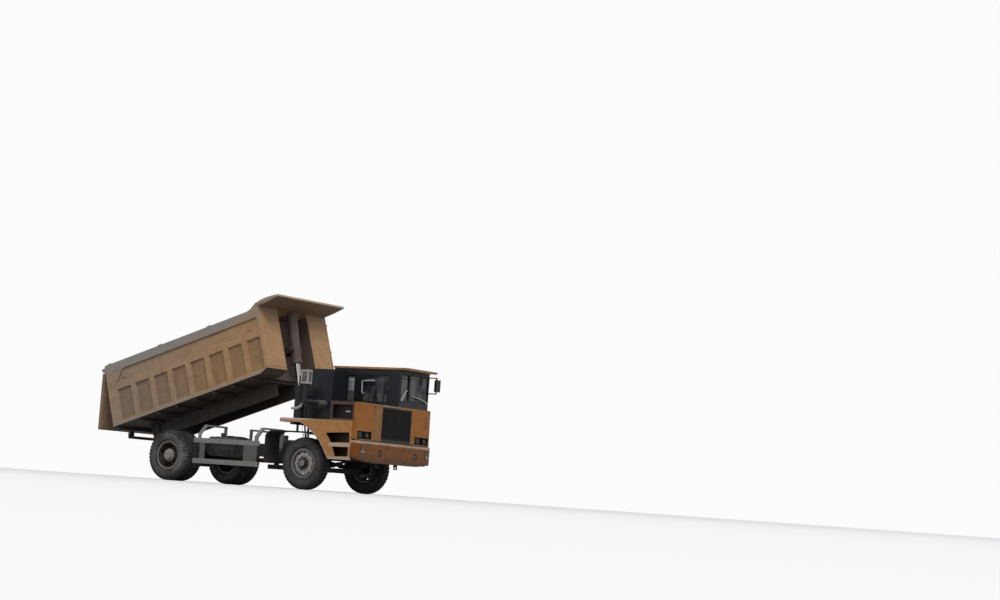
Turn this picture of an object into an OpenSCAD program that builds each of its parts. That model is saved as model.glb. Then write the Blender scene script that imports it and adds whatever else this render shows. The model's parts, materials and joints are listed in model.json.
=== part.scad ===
// Wide-body mining dump truck with a half cab, bed part raised and tailgate hanging.
// Millimetres. X forward, Y left, Z up, floor at Z 0, middle of the length at X 0.
// Outlines below are in the truck's own frame, whose X starts at the rear axle.

/* [Wheels] */
// Distance between front and rear axle
wheelbase = 4100; // [3900:10:4400]
// Outer diameter of every tyre
tyre_od = 1226; // [1180:2:1240]
// Width of every tyre
tyre_w = 315; // [280:5:320]
// Diameter of the bead seat
rim_d = 610; // [560:10:640]
// Height of the rim flange over the bead seat
flange_h = 40; // [25:1:50]
// Distance between the middles of the front tyres
front_track = 2420; // [2380:10:2440]
// Distance between the middles of the rear pairs
rear_track = 2232; // [2200:4:2240]
// Distance between the two tyres of a rear pair
dual_pitch = 337; // [330:1:350]
// Diameter of the front spindle
front_spindle_d = 90; // [70:2:110]
// Diameter of the rear spindle
rear_spindle_d = 120; // [90:2:140]
// Distance between the king pins
king_span = 1970; // [1940:10:1990]
// Diameter of a king pin
king_d = 60; // [40:2:70]
// Radial clearance of a running bearing
bearing_gap = 0.08; // [0.04:0.01:0.1]
// Radial clearance of a king pin
king_gap = 0.3; // [0.2:0.05:0.5]

/* [Frame] */
// Distance over the outer faces of the rails
frame_w = 860; // [820:10:880]
// Width of a rail's flanges
rail_w = 90; // [70:5:110]
// Height of a rail
rail_h = 300; // [260:5:310]
// Thickness of a rail
rail_t = 14; // [8:1:20]
// Height of the rails' top over the floor
rail_top = 1040; // [1020:5:1045]

/* [Front] */
// Front face of the bumper ahead of the rear axle
bumper_x = 5776; // [5740:2:5820]
// Width of the bumper
bumper_w = 3072; // [3040:4:3100]
// Height of the bumper's top edge
bumper_top = 1208; // [1190:2:1210]
// Depth of the bumper
bumper_depth = 190; // [150:5:190]
// Front face of the front panel ahead of the rear axle
panel_x = 5683; // [5660:1:5700]
// Depth of the front panel with its returns
panel_depth = 100; // [80:1:110]
// Width of the front panel at its foot
panel_w = 2996; // [2960:4:3000]
// Height of the deck over the floor
deck_z = 2097; // [2060:1:2120]
// Height of the mudguard tops beside the cab
fender_z = 1657; // [1640:1:1680]
// Distance over the outer faces of the mudguards
fender_w = 3050; // [3030:2:3060]
// Thickness of mudguard, deck and step plates
plate_t = 30; // [15:1:35]

/* [Cab] */
// Right face of the half cab, left of the middle
cab_y = 160; // [140:5:180]
// Left face of the half cab
cab_side = 1380; // [1340:5:1380]
// Rear face of the cab ahead of the rear axle
cab_rear = 3690; // [3650:5:3720]
// Front face of the cab
cab_front = 5650; // [5620:2:5652]
// Top of the roof over the floor
roof_z = 3030; // [3000:1:3034]
// Thickness of the roof slab
roof_t = 45; // [30:1:60]
// Thickness of the cab walls
cab_wall = 50; // [35:1:60]
// Thickness of the window panes
glass_t = 6; // [4:1:10]

/* [Bed] */
// Tilt of the bed in the pose shown
bed_tilt = 17.8; // [0:0.1:25]
// Hinge pin of the bed behind the rear axle
bed_pin_back = 1196; // [1150:2:1230]
// Hinge pin of the bed over the floor
bed_pin_z = 955; // [940:1:960]
// Diameter of the bed's hinge pin
bed_pin_d = 70; // [50:2:80]
// Width over the bed's sides
bed_w = 2720; // [2640:10:2760]
// Front panel of the bed ahead of its hinge
bed_front = 4400; // [4300:5:4420]
// Rear end of the side walls behind the hinge
bed_rear = 590; // [560:5:620]
// Underside of the bed over its hinge
bed_under = 470; // [460:1:490]
// Top rail of the bed over its hinge
bed_top = 2050; // [2000:5:2060]
// Thickness of the side walls
wall_t = 80; // [60:2:110]
// Depth of the pressed panels in the side walls
panel_recess = 40; // [20:1:50]
// Distance from one side panel to the next
panel_pitch = 600; // [560:5:620]
// Thickness of the floor
floor_t = 60; // [40:2:80]
// Width of the recess for the hoist
recess_w = 1140; // [900:10:1200]
// Depth of the recess for the hoist
recess_depth = 450; // [400:5:480]
// Reach of the canopy ahead of the front panel
canopy_reach = 650; // [600:5:660]
// Width of the tailgate
gate_w = 2640; // [2500:10:2650]

/* [Hoist] */
// Upper pivot of the hoist ahead of the bed hinge
hoist_u = 4322; // [4280:2:4340]
// Upper pivot of the hoist over the bed hinge
hoist_w = 1175; // [1150:5:1200]
// Lower pin of the hoist ahead of the rear axle
hoist_x = 3150; // [3140:2:3170]
// Lower pin of the hoist over the floor
hoist_z = 950; // [940:1:960]
// Outer diameter of the barrel
barrel_d = 250; // [220:2:270]
// Outer diameter of the first chrome sleeve
sleeve_1_d = 160; // [150:1:170]
// Outer diameter of the second chrome sleeve
sleeve_2_d = 132; // [124:1:140]
// Diameter of the rod
rod_d = 104; // [96:1:112]
// Diameter of the trunnion pins
trunnion_d = 70; // [50:2:80]

/* [Hidden] */
$fn = 48;

// Gap between pieces that only rest against each other
seat = 0.3;
// Gap round a door or a flap
play = 8;

axle_z = tyre_od / 2;
rail_out = frame_w / 2;
rail_in = rail_out - rail_w;
rail_web = rail_out - rail_t;
rail_foot = rail_top - rail_h;
bed_pin_x = -bed_pin_back;
rail_rear = bed_pin_x - 104;
bumper_back = bumper_x - bumper_depth;
panel_back = panel_x - panel_depth;
rail_front = bumper_back - 186;
bumper_foot = 725;
bumper_skin = 16;
fender_y = fender_w / 2;
fender_front = panel_back - 3;
fender_foot = 750;
fender_rear = wheelbase - 630;
step_y = fender_y - 325;
beam_top = fender_z - plate_t;
beam_h = 120;
beam_w = 120;
beam_xs = [wheelbase - 350, 5250];
cab_floor = beam_top + seat;
cab_top = roof_z - roof_t - seat;
deck_rear = 4875;
deck_left = cab_y - 15;
tower_x = [3350, 4350];
tower_y = [-750, -120];

bed_y = bed_w / 2;
sill_w = 80;
sill_y = rail_out - 5 - sill_w;
sill_foot = 100;
ear_t = 35;
ear_y = rail_out + 15;
gate_pin_u = -bed_rear - 60;
gate_pin_w = bed_top - 100;
gate_r = 50;
gate_pin_d = 50;
gate_drop = 1475;
gate_pin_x = bed_pin_x + gate_pin_u * cos(bed_tilt) - gate_pin_w * sin(bed_tilt);
gate_pin_z = bed_pin_z + gate_pin_u * sin(bed_tilt) + gate_pin_w * cos(bed_tilt);

hoist_top_x = bed_pin_x + hoist_u * cos(bed_tilt) - hoist_w * sin(bed_tilt);
hoist_top_z = bed_pin_z + hoist_u * sin(bed_tilt) + hoist_w * cos(bed_tilt);
hoist_len = norm([hoist_x - hoist_top_x, hoist_z - hoist_top_z]);
hoist_lean = atan2(hoist_x - hoist_top_x, hoist_top_z - hoist_z);
// Each stage has run out this far from its stop in the pose shown
stage_out = 434;
eye_r = 65;
eye_half = 60;

// The truck's frame: the middle of the overall length, from the tailgate to the mirror, is at X 0
mirror_front = cab_front + 240;
rear_x = gate_pin_x - gate_r;
rear_axle_x = -(mirror_front + rear_x) / 2;

module in_truck() translate([rear_axle_x, 0, 0]) children();

module in_bed() in_truck() translate([bed_pin_x, 0, bed_pin_z]) rotate([0, -bed_tilt, 0]) children();

// Hoist frame: Z runs from the upper pivot down to the lower pin
module in_hoist() in_truck() translate([hoist_top_x, 0, hoist_top_z]) rotate([0, 180 - hoist_lean, 0]) children();

module both_sides() {
    children();
    mirror([0, 1, 0]) children();
}

module block(x, y, z) translate([x[0], y[0], z[0]]) cube([x[1] - x[0], y[1] - y[0], z[1] - z[0]]);

// An outline in X and Z, drawn out along Y
module side_form(points, y) translate([0, y[1], 0]) rotate([90, 0, 0]) linear_extrude(y[1] - y[0]) polygon(points);

// An outline in Y and Z, drawn out along X
module front_form(points, x) translate([x[0], 0, 0]) rotate([90, 0, 90]) linear_extrude(x[1] - x[0]) polygon(points);

module bar_y(d, y, x, z) translate([x, y[0], z]) rotate([-90, 0, 0]) cylinder(d = d, h = y[1] - y[0]);

module bar_x(d, x, y, z) translate([x[0], y, z]) rotate([0, 90, 0]) cylinder(d = d, h = x[1] - x[0]);

module bar_z(d, z, x, y) translate([x, y, z[0]]) cylinder(d = d, h = z[1] - z[0]);

// A wheel's frame: Z points outboard on the left side
module in_wheel(x, y) in_truck() translate([x, y, axle_z]) rotate([-90, 0, 0]) children();

module chassis_frame() color("dimgray") in_truck() {
    both_sides() difference() {
        union() {
            front_form([[rail_out, rail_foot], [rail_in, rail_foot], [rail_in, rail_foot + rail_t],
                        [rail_web, rail_foot + rail_t], [rail_web, rail_top - rail_t],
                        [rail_in, rail_top - rail_t], [rail_in, rail_top], [rail_out, rail_top]],
                       [rail_rear, rail_front]);
            bar_y(2 * (rail_top - bed_pin_z) - 6, [rail_in - 10, rail_out], bed_pin_x, bed_pin_z);
        }
        bar_y(bed_pin_d + 2 * bearing_gap, [rail_in - 20, rail_out + 10], bed_pin_x, bed_pin_z);
    }
    for (x = [-850, 700, 1500, 2400, 5150])
        bar_y(120, [-rail_web, rail_web], x, rail_foot + rail_h / 2);
    hoist_tube_d = 96;
    hoist_tube_z = rail_foot + 40;
    bar_y(hoist_tube_d, [-rail_web, rail_web], hoist_x, hoist_tube_z);
    both_sides() difference() {
        side_form([[hoist_x - 110, hoist_tube_z], [hoist_x + 110, hoist_tube_z],
                   [hoist_x + 50, hoist_z + 60], [hoist_x - 50, hoist_z + 60]], [eye_half + 20, eye_half + 50]);
        bar_y(sleeve_1_d / 3, [eye_half, eye_half + 60], hoist_x, hoist_z);
    }
    both_sides() bar_y(sleeve_1_d / 3, [eye_half + 8, eye_half + 50], hoist_x, hoist_z);
    both_sides() block([rail_front, bumper_x - bumper_skin - seat], [rail_out - 80, rail_out], [rail_foot + 80, rail_top - 20]);
    tail_bar();
    tow_jaw();
    both_sides() difference() {
        side_form([[rail_front + 60, rail_foot + 90], [rail_front + 90, tow_eye_z - 45], [bumper_back - 10, tow_eye_z - 45],
                   [bumper_back - 10, rail_foot + 90]], [rail_out - 60, rail_out - 30]);
        bar_y(tow_d, [rail_out - 70, rail_out], tow_eye_x, tow_eye_z);
    }
}

// Towing eyes: a jaw with an upright pin at the rear, a plate with a cross pin below each front horn
tow_d = 50;
tow_eye_x = rail_front + 130;
tow_eye_z = rail_foot - 80;
tow_top = rail_foot + 80;
module tow_jaw() {
    block([rail_rear, rail_rear + 60], [-rail_web, rail_web], [tow_top - 120, tow_top + 60]);
    difference() {
        for (z = [tow_top - 120, tow_top - 30])
            block([rail_rear - 130, rail_rear + 5], [-65, 65], [z, z + 30]);
        bar_z(tow_d, [tow_top - 130, tow_top + 10], rail_rear - 70, 0);
    }
}

module deck_frame() color("dimgray") in_truck() for (x = beam_xs) {
    block([x, x + beam_w], [-fender_y + 45, fender_y - 45], [beam_top - beam_h, beam_top]);
    both_sides() block([x, x + beam_w], [rail_in + 5, rail_out - 5], [rail_top, beam_top - beam_h]);
}

module bumper_form(inset) {
    half = bumper_w / 2 - inset;
    intersection() {
        front_form([[-half, bumper_top - inset], [-half, bumper_foot + 100 + inset], [-half + 100, bumper_foot + 60 + inset],
                    [-900, bumper_foot + inset], [900, bumper_foot + inset], [half - 100, bumper_foot + 60 + inset],
                    [half, bumper_foot + 100 + inset], [half, bumper_top - inset]], [bumper_back - inset, bumper_x]);
        linear_extrude(bumper_top)
            polygon([[bumper_back - inset, -half], [bumper_x - 80 - inset, -half], [bumper_x - inset, -half + 130],
                     [bumper_x - inset, half - 130], [bumper_x - 80 - inset, half], [bumper_back - inset, half]]);
    }
}

module front_bumper() color("peru") in_truck() difference() {
    bumper_form(0);
    bumper_form(bumper_skin);
    for (y = fog_ys)
        bar_x(fog_d, [bumper_x - 60, bumper_x + 10], y, fog_z);
}

// Middles of the round bumper lamps
fog_ys = [-620, 830];
fog_d = 170;
fog_z = 950;
// Opening of the grille, left of the middle
grille_y = [-504, 701];
grille_z = [1285, 2045];
lamp_y = [880, 1440];
lamp_z = [1255, 1435];
lamp_depth = 70;

module panel_outline(inset) {
    foot = panel_w / 2 - inset;
    top = foot - 28;
    front_form([[-foot, bumper_top + 7 + inset], [foot, bumper_top + 7 + inset],
                [top, deck_z - inset], [-top, deck_z - inset]], [panel_back - inset, panel_x - inset]);
}

module front_panel() color("peru") in_truck() difference() {
    union() {
        difference() {
            panel_outline(0);
            panel_outline(20);
        }
        both_sides() block([panel_x - lamp_depth - 15, panel_x - 1], [lamp_y[0] - 15, lamp_y[1] + 15],
                           [lamp_z[0] - 15, lamp_z[1] + 15]);
    }
    block([panel_back - 10, panel_x + 10], grille_y, grille_z);
    both_sides() block([panel_x - lamp_depth, panel_x + 10], lamp_y, lamp_z);
    block([panel_back - 30, cab_front + 5], [cab_y - play, cab_side + play], [deck_z - 40, deck_z + 10]);
}

module grille() color("black") in_truck() {
    frame = 35;
    x = [cab_front + 5, panel_x - 5];
    difference() {
        block(x, [grille_y[0] + seat, grille_y[1] - seat], [grille_z[0] + seat, grille_z[1] - seat]);
        block([x[0] - 10, x[1] + 10], [grille_y[0] + frame, grille_y[1] - frame],
              [grille_z[0] + frame, grille_z[1] - frame]);
    }
    bars = 9;
    pitch = (grille_z[1] - grille_z[0]) / (bars + 1);
    for (i = [1 : bars])
        block([x[0] + 6, x[1] - 6], [grille_y[0] + frame - 5, grille_y[1] - frame + 5],
              [grille_z[0] + i * pitch - 9, grille_z[0] + i * pitch + 9]);
    for (y = [grille_y[0] / 2, (grille_y[0] + grille_y[1]) / 2, grille_y[1] / 1.5])
        block([x[0], x[0] + 10], [y - 12, y + 12], [grille_z[0] + frame - 5, grille_z[1] - frame + 5]);
}

module lamps() color("white") in_truck() {
    both_sides() for (y = [lamp_y[0] + 150, lamp_y[1] - 130])
        bar_x(150, [panel_x - lamp_depth + seat, panel_x - 12], y, (lamp_z[0] + lamp_z[1]) / 2);
    for (y = fog_ys)
        bar_x(fog_d - 2 * seat, [bumper_x - bumper_skin, bumper_x - 4], y, fog_z);
    both_sides() block([bumper_x + seat, bumper_x + 10], [1270, 1350], [950, 1050]);
    both_sides() block([tail_x - 40, tail_x + 20], [930, 1090], [tail_z + 70 + seat, tail_z + 190]);
}

tail_x = -1600;
tail_z = 960;
module tail_bar() {
    block([tail_x, tail_x + 40], [-1120, 1120], [tail_z, tail_z + 70]);
    both_sides() block([tail_x + 30, rail_rear + 5], [rail_in + 10, rail_out], [tail_z, tail_z + 70]);
}

module deck() color("sienna") in_truck() {
    block([deck_rear, panel_back - seat], [-panel_w / 2 + 28, deck_left], [deck_z - plate_t, deck_z]);
    block([deck_rear + 20, deck_rear + 80], [-400, -340], [rail_top + seat, deck_z - plate_t + 5]);
    block([beam_xs[1] + 30, beam_xs[1] + 90], [-400, -340], [beam_top + seat, deck_z - plate_t + 5]);
}

// Outlines of a mudguard: its arch behind and before the axle, and its two step openings
arch = [[-50, 1570], [100, 1510], [320, 1370], [580, 1150]];
arch_front = wheelbase + 850;
upper_step = [[wheelbase + 740, 1350], [fender_front - 60, 1385], [fender_front - 35, 1150], [wheelbase + 900, 1130]];
lower_step = [[wheelbase + 950, 1035], [fender_front - 65, 1045], [fender_front - 55, 835], [wheelbase + 1035, 815]];
module fender(inner) {
    wall_top = inner > step_y + 20 ? beam_top : beam_top + 5;
    edge = concat([[fender_rear, 1560]], [for (p = arch) p + [wheelbase, 0]], [[arch_front, fender_foot]]);
    difference() {
        side_form(concat([[fender_rear, fender_z]], edge, [[fender_front, fender_foot], [fender_front, fender_z]]),
                  [fender_y - plate_t, fender_y]);
        side_form(upper_step, [fender_y - plate_t - 1, fender_y + 1]);
        side_form(lower_step, [fender_y - plate_t - 1, fender_y + 1]);
    }
    side_form(concat(edge, [for (i = [5 : -1 : 0]) edge[i] + [18, 16]]), [step_y, fender_y - 1]);
    block([fender_rear, fender_front], [inner, fender_y - 1], [beam_top + seat, fender_z]);
    block([fender_front - 20, fender_front], [step_y, fender_y - 1], [fender_foot, wall_top]);
    block([fender_front - 20, fender_front], [max(inner, step_y), fender_y - 1], [fender_foot, beam_top + 5]);
    side_form([[edge[3][0], wall_top], edge[3] + [0, 20], edge[4] + [0, 15],
               edge[5], [fender_front, fender_foot], [fender_front, wall_top]], [step_y, step_y + 15]);
    block([arch_front + 50, fender_front], [step_y, fender_y - 1], [1098, 1128]);
    block([arch_front, fender_front], [step_y, fender_y - 1], [fender_foot, fender_foot + plate_t]);
    block([rail_front - 100, rail_front], [rail_out + seat, step_y + 5], [rail_top - 90, rail_top - 30]);
}

module right_fender() color("peru") in_truck() mirror([0, 1, 0]) difference() {
    fender(650);
    for (x = beam_xs)
        block([x - seat, x + beam_w + seat], [0, fender_y - 45 + seat], [beam_top - beam_h - seat, beam_top]);
}

module left_fender() color("peru") in_truck() difference() {
    fender(cab_side + 5);
    for (x = beam_xs)
        block([x - seat, x + beam_w + seat], [0, fender_y - 45 + seat], [beam_top - beam_h - seat, beam_top]);
}

module wheel_guards() color("black") in_truck() both_sides() {
    sheet = [[-1210, 600], [-1210, 1230], [-1140, 1310], [-1040, 1350], [-940, 1362], [100, 1362],
             [100, 1340], [-935, 1340], [-1030, 1328], [-1125, 1290], [-1188, 1222], [-1188, 600]];
    side_form([for (p = sheet) p + [wheelbase, 0]], [760, 1300]);
    for (y = [800, 1220])
        block([beam_xs[0] + 20, beam_xs[0] + 60], [y, y + 40], [1355, beam_top - beam_h - seat]);
}

module side_locker() color("saddlebrown") in_truck() difference() {
    block([deck_rear + 25, panel_back - seat], [-panel_w / 2 + 28, -900], [fender_z + seat, deck_z - plate_t - seat]);
    block([deck_rear + 75, panel_back - 50], [-panel_w / 2, -panel_w / 2 + 190], [fender_z + 45, deck_z - plate_t - 45]);
}

window_z = [2200, 2830];
screen_y = [210, 1330];
screen_z = [2280, 2870];
screen_bar = 550;
right_panes = [[3760, 4330], [4600, 5310]];
rear_pane = [450, 1100];
left_pane = [3800, 4330];
door_x = [4480, 5400];
door_z = [cab_floor + 60, 2900];
door_window = [4590, 5290];
door_hinge = [door_x[1], cab_side + 14];
door_hinge_d = 14;
door_hinge_zs = [1850, 2650];

module cab_shell() color("black") in_truck() {
    difference() {
        block([cab_rear, cab_front], [cab_y, cab_side], [cab_floor, cab_top]);
        block([cab_rear + cab_wall, cab_front - cab_wall], [cab_y + cab_wall, cab_side - cab_wall],
              [cab_floor + cab_wall, cab_top + 1]);
        for (y = [[screen_y[0], screen_bar - 20], [screen_bar + 20, screen_y[1]]])
            block([cab_front - cab_wall - 1, cab_front + 1], y, screen_z);
        for (x = right_panes)
            block(x, [cab_y - 1, cab_y + cab_wall + 1], window_z);
        block([cab_rear - 1, cab_rear + cab_wall + 1], rear_pane, window_z);
        block(left_pane, [cab_side - cab_wall - 1, cab_side + 1], window_z);
        block(door_x, [cab_side - cab_wall - 1, cab_side + 1], door_z);
    }
    for (z = door_hinge_zs) {
        bar_z(door_hinge_d, [z - 5, z + 105], door_hinge[0], door_hinge[1]);
        for (dz = [-35, 105 + seat])
            difference() {
                union() {
                    bar_z(28, [z + dz, z + dz + 30], door_hinge[0], door_hinge[1]);
                    block([door_hinge[0], door_hinge[0] + 60], [cab_side - 2, cab_side + 10], [z + dz, z + dz + 30]);
                }
            }
    }
}

module cab_roof() color("peru") in_truck() difference() {
    block([cab_rear - 20, 5856], [cab_y - 24, cab_side + 24], [cab_top + seat, roof_z]);
    block([5800, 5870], [cab_y - 30, cab_side + 30], [cab_top - 10, cab_top + 12]);
}

module pane_x(x, y, z) block([x - glass_t / 2, x + glass_t / 2], [y[0] + seat, y[1] - seat], [z[0] + seat, z[1] - seat]);

module pane_y(x, y, z) block([x[0] + seat, x[1] - seat], [y - glass_t / 2, y + glass_t / 2], [z[0] + seat, z[1] - seat]);

module cab_glass() color("lightblue") in_truck() {
    for (y = [[screen_y[0], screen_bar - 20], [screen_bar + 20, screen_y[1]]])
        pane_x(cab_front - cab_wall / 2, y, screen_z);
    pane_x(cab_rear + cab_wall / 2, rear_pane, window_z);
    for (x = right_panes)
        pane_y(x, cab_y + cab_wall / 2, window_z);
    pane_y(left_pane, cab_side - cab_wall / 2, window_z);
}

module cab_door() color("black") in_truck() {
    difference() {
        block([door_x[0] + play, door_x[1] - play], [cab_side - cab_wall, cab_side], [door_z[0] + play, door_z[1] - play]);
        block(door_window, [cab_side - cab_wall - 1, cab_side + 1], window_z);
    }
    for (z = door_hinge_zs)
        difference() {
            union() {
                bar_z(28, [z + seat, z + 100], door_hinge[0], door_hinge[1]);
                block([door_hinge[0] - 70, door_hinge[0] - 4], [cab_side - 2, cab_side + 10], [z + seat, z + 100]);
            }
            bar_z(door_hinge_d + 2 * bearing_gap, [z - 1, z + 110], door_hinge[0], door_hinge[1]);
        }
    bar_x(22, [door_x[0] + 40, door_x[0] + 190], cab_side + 40, 2080);
    for (x = [door_x[0] + 50, door_x[0] + 180])
        bar_y(18, [cab_side - 2, cab_side + 40], x, 2080);
}

module door_glass() color("lightblue") in_truck() pane_y(door_window, cab_side - cab_wall / 2, window_z);

seat_x = 4330;
seat_y = (cab_y + cab_side) / 2;
cab_deck = cab_floor + cab_wall;
module driver_seat() color("dimgray") in_truck() {
    block([seat_x + 80, seat_x + 420], [seat_y - 180, seat_y + 180], [cab_deck + seat, cab_deck + 280]);
    block([seat_x, seat_x + 520], [seat_y - 250, seat_y + 250], [cab_deck + 280, cab_deck + 420]);
    side_form([[seat_x + 20, cab_deck + 400], [seat_x + 150, cab_deck + 400], [seat_x + 20, cab_deck + 1060],
               [seat_x - 80, cab_deck + 1060]], [seat_y - 240, seat_y + 240]);
}

module dashboard() color("dimgray") in_truck() {
    side_form([[cab_front - cab_wall - seat, cab_deck + seat], [cab_front - cab_wall - seat, 2230],
               [cab_front - 300, 2200], [cab_front - 400, 2060], [cab_front - 240, cab_deck + seat]],
              [cab_y + cab_wall + seat, cab_side - cab_wall - 40]);
    translate([cab_front - 360, seat_y, 2090]) rotate([0, -50, 0]) {
        cylinder(d = 60, h = 220);
        translate([0, 0, 200]) cylinder(d = 110, h = 30);
        translate([0, 0, 215]) rotate_extrude() translate([215, 0]) circle(d = 32, $fn = 24);
        for (a = [0, 120, 240])
            rotate([0, 0, a]) translate([0, -18, 205]) cube([215, 36, 16]);
    }
}

engine_x = [wheelbase - 350, 4940];
engine_z = [rail_foot + 40, 1500];
gearbox_x = [hoist_x + 200, engine_x[0]];
shaft_z = axle_z + 30;
module engine_block() color("gray") in_truck() {
    block(engine_x, [-325, 325], engine_z);
    block([engine_x[0] + 140, engine_x[1] - 80], [-215, 145], [engine_z[1], fender_z - 12]);
    block(gearbox_x, [-230, 230], [shaft_z - 83, shaft_z + 357]);
    both_sides() for (x = [engine_x[0] + 100, engine_x[1] - 190])
        block([x, x + 100], [320, rail_web - seat], [engine_z[0] + 70, engine_z[0] + 130]);
}

module radiator() color("dimgray") in_truck() {
    block([beam_xs[1] + beam_w + seat, panel_back - 10], [grille_y[0] + 20, deck_left - 10], [rail_top + 110, 2040]);
    block([beam_xs[1] + beam_w + seat, panel_back - 60], [deck_left - 11, grille_y[1] - 20], [rail_top + 110, 1590]);
}

// Foot of the louvred intake's box, its middle and its run to the tower
intake_x = 4045;
intake_y = -1372;
intake_w = 155;
intake_z = [2475, 2800];
intake_d = 120;
intake_turn = 14;
intake_line_z = 2050;
intake_run = (tower_y[0] + 10 - intake_y) / cos(intake_turn);
stack_x = 3660;
stack_y = -1080;
stack_d = 230;
module intake_line(d, y) translate([intake_x, intake_y, intake_line_z]) rotate([0, 0, -intake_turn]) bar_y(d, y, 0, 0);

module air_tower() color("black") in_truck() {
    side_form([[tower_x[0], fender_z + seat], [tower_x[1], fender_z + seat], [tower_x[1], 2880],
               [tower_x[0] + 400, 2880], [tower_x[0], 2700]], tower_y);
    bar_z(stack_d, [fender_z + seat, 2380], stack_x, stack_y);
    bar_z(stack_d + 25, [2380, 2440], stack_x, stack_y);
    bar_y(60, [stack_y, tower_y[0] + 5], stack_x, 2200);
    bar_z(intake_d, [intake_line_z - intake_d / 2, intake_z[0] - seat], intake_x, intake_y);
    intake_line(intake_d, [-intake_d / 2, intake_run]);
}

// A bent pipe of round lengths with a ball at each bend
module bent_pipe(d, points) for (i = [0 : len(points) - 2]) {
    run = points[i + 1] - points[i];
    translate(points[i]) rotate([0, acos(run[2] / norm(run)), atan2(run[1], run[0])]) cylinder(d = d, h = norm(run));
    if (i > 0)
        translate(points[i]) sphere(d = d + 6, $fn = 32);
}

module air_cleaner() color("lightgray") in_truck() {
    x = [intake_x - 105, intake_x + 105];
    y = [intake_y - intake_w / 2, intake_y + intake_w / 2];
    difference() {
        block(x, y, intake_z);
        for (z = [intake_z[0] + 45 : 50 : intake_z[1] - 60]) {
            block([x[1] - 20, x[1] + 10], [y[0] + 25, y[1] - 25], [z, z + 26]);
            block([x[0] + 30, x[1] - 30], [y[0] - 10, y[0] + 20], [z, z + 26]);
        }
    }
    difference() {
        intake_line(intake_d + 40, [intake_run - 280, intake_run - 40]);
        intake_line(intake_d + 2 * seat, [intake_run - 290, intake_run - 30]);
    }
    pipe_d = 62;
    pipe_y = stack_y - stack_d / 2 - pipe_d / 2 - seat;
    bent_pipe(pipe_d, [[stack_x - 100, pipe_y, 1895], [stack_x + 50, pipe_y, 1900], [stack_x + 160, pipe_y, 1950], [stack_x + 225, pipe_y, 2055]]);
}

tank_x = [1120, 1960];
tank_y = -1100;
tank_z = 895;
tank_d = 460;
module fuel_tank() color("black") in_truck() {
    bar_x(tank_d, tank_x, tank_y, tank_z);
    for (x = [tank_x[0] + 150, tank_x[1] - 190]) {
        bar_x(tank_d + 16, [x, x + 50], tank_y, tank_z);
        block([x - 20, x + 70], [tank_y + 150, -rail_out - seat], [rail_foot, rail_foot + 80]);
    }
    bar_z(110, [tank_z + tank_d / 2 - 10, tank_z + tank_d / 2 + 60], (tank_x[0] + tank_x[1]) / 2 - 100, tank_y);
}

hydraulic_x = [1250, 2050];
hydraulic_y = [780, 1360];
hydraulic_z = [680, 1200];
module hydraulic_tank() color("black") in_truck() {
    front_form([for (p = [[0, 0, 0, 40], [0, 0, 40, 0], [1, 0, -40, 0], [1, 0, 0, 40], [1, 1, 0, -40], [1, 1, -40, 0], [0, 1, 40, 0], [0, 1, 0, -40]])
                [hydraulic_y[p[0]] + p[2], hydraulic_z[p[1]] + p[3]]], hydraulic_x);
    for (x = [hydraulic_x[0] + 100, hydraulic_x[1] - 200])
        block([x, x + 90], [rail_out + seat, hydraulic_y[0] + 5], [rail_foot, rail_foot + 80]);
    bar_z(110, [hydraulic_z[1] - 10, hydraulic_z[1] + 75], (hydraulic_x[0] + hydraulic_x[1]) / 2, (hydraulic_y[0] + hydraulic_y[1]) / 2 + 10);
}

guard_y = 1450;
guard_x = [850, wheelbase - 1250];
strut_xs = [[guard_x[0] + 115, guard_x[0] + 185], [guard_x[1] - 145, guard_x[1] - 45]];
strut_top = 1400;
module side_guards() color("silver") in_truck() both_sides() {
    for (z = [460, 955])
        block(guard_x, [guard_y - 20, guard_y + 20], [z, z + 115]);
    block([guard_x[0] + 190, guard_x[0] + 340], [guard_y - 15, guard_y + 15], [570, 960]);
    block([guard_x[1] - 450, guard_x[1] - 50], [guard_y - 15, guard_y + 15], [570, 960]);
    for (x = strut_xs) {
        front_form([[guard_y + 15, 1060], [guard_y + 15, 1175], [guard_y - 215, strut_top], [470, strut_top], [470, strut_top - 45],
                    [guard_y - 235, strut_top - 45], [guard_y - 30, 1155], [guard_y - 30, 1060]], x);
        block(x, [470, 515], [rail_foot + 120, strut_top - 40]);
        block(x, [rail_out + seat, 475], [rail_foot + 120, rail_foot + 220]);
    }
}

king_y = king_span / 2;
boss_z = [axle_z - 95, axle_z + 85];
module front_axle() color("dimgray") in_truck() difference() {
    union() {
        front_form([[-king_y + 40, boss_z[0] + 10], [-king_y + 100, boss_z[0] + 10], [-700, axle_z - 163], [700, axle_z - 163],
                    [king_y - 100, boss_z[0] + 10], [king_y - 40, boss_z[0] + 10],
                    [king_y - 40, boss_z[1] - 10], [880, boss_z[1] - 10], [640, axle_z - 53], [-640, axle_z - 53],
                    [-880, boss_z[1] - 10], [-king_y + 40, boss_z[1] - 10]], [wheelbase - 60, wheelbase + 60]);
        both_sides() bar_z(120, boss_z, wheelbase, king_y);
    }
    both_sides() bar_z(king_d + 2 * king_gap, [boss_z[0] - 10, boss_z[1] + 10], wheelbase, king_y);
    for (x = [wheelbase - 61, wheelbase + 25])
        block([x, x + 36], [-560, 560], [axle_z - 138, axle_z - 78]);
}

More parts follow.
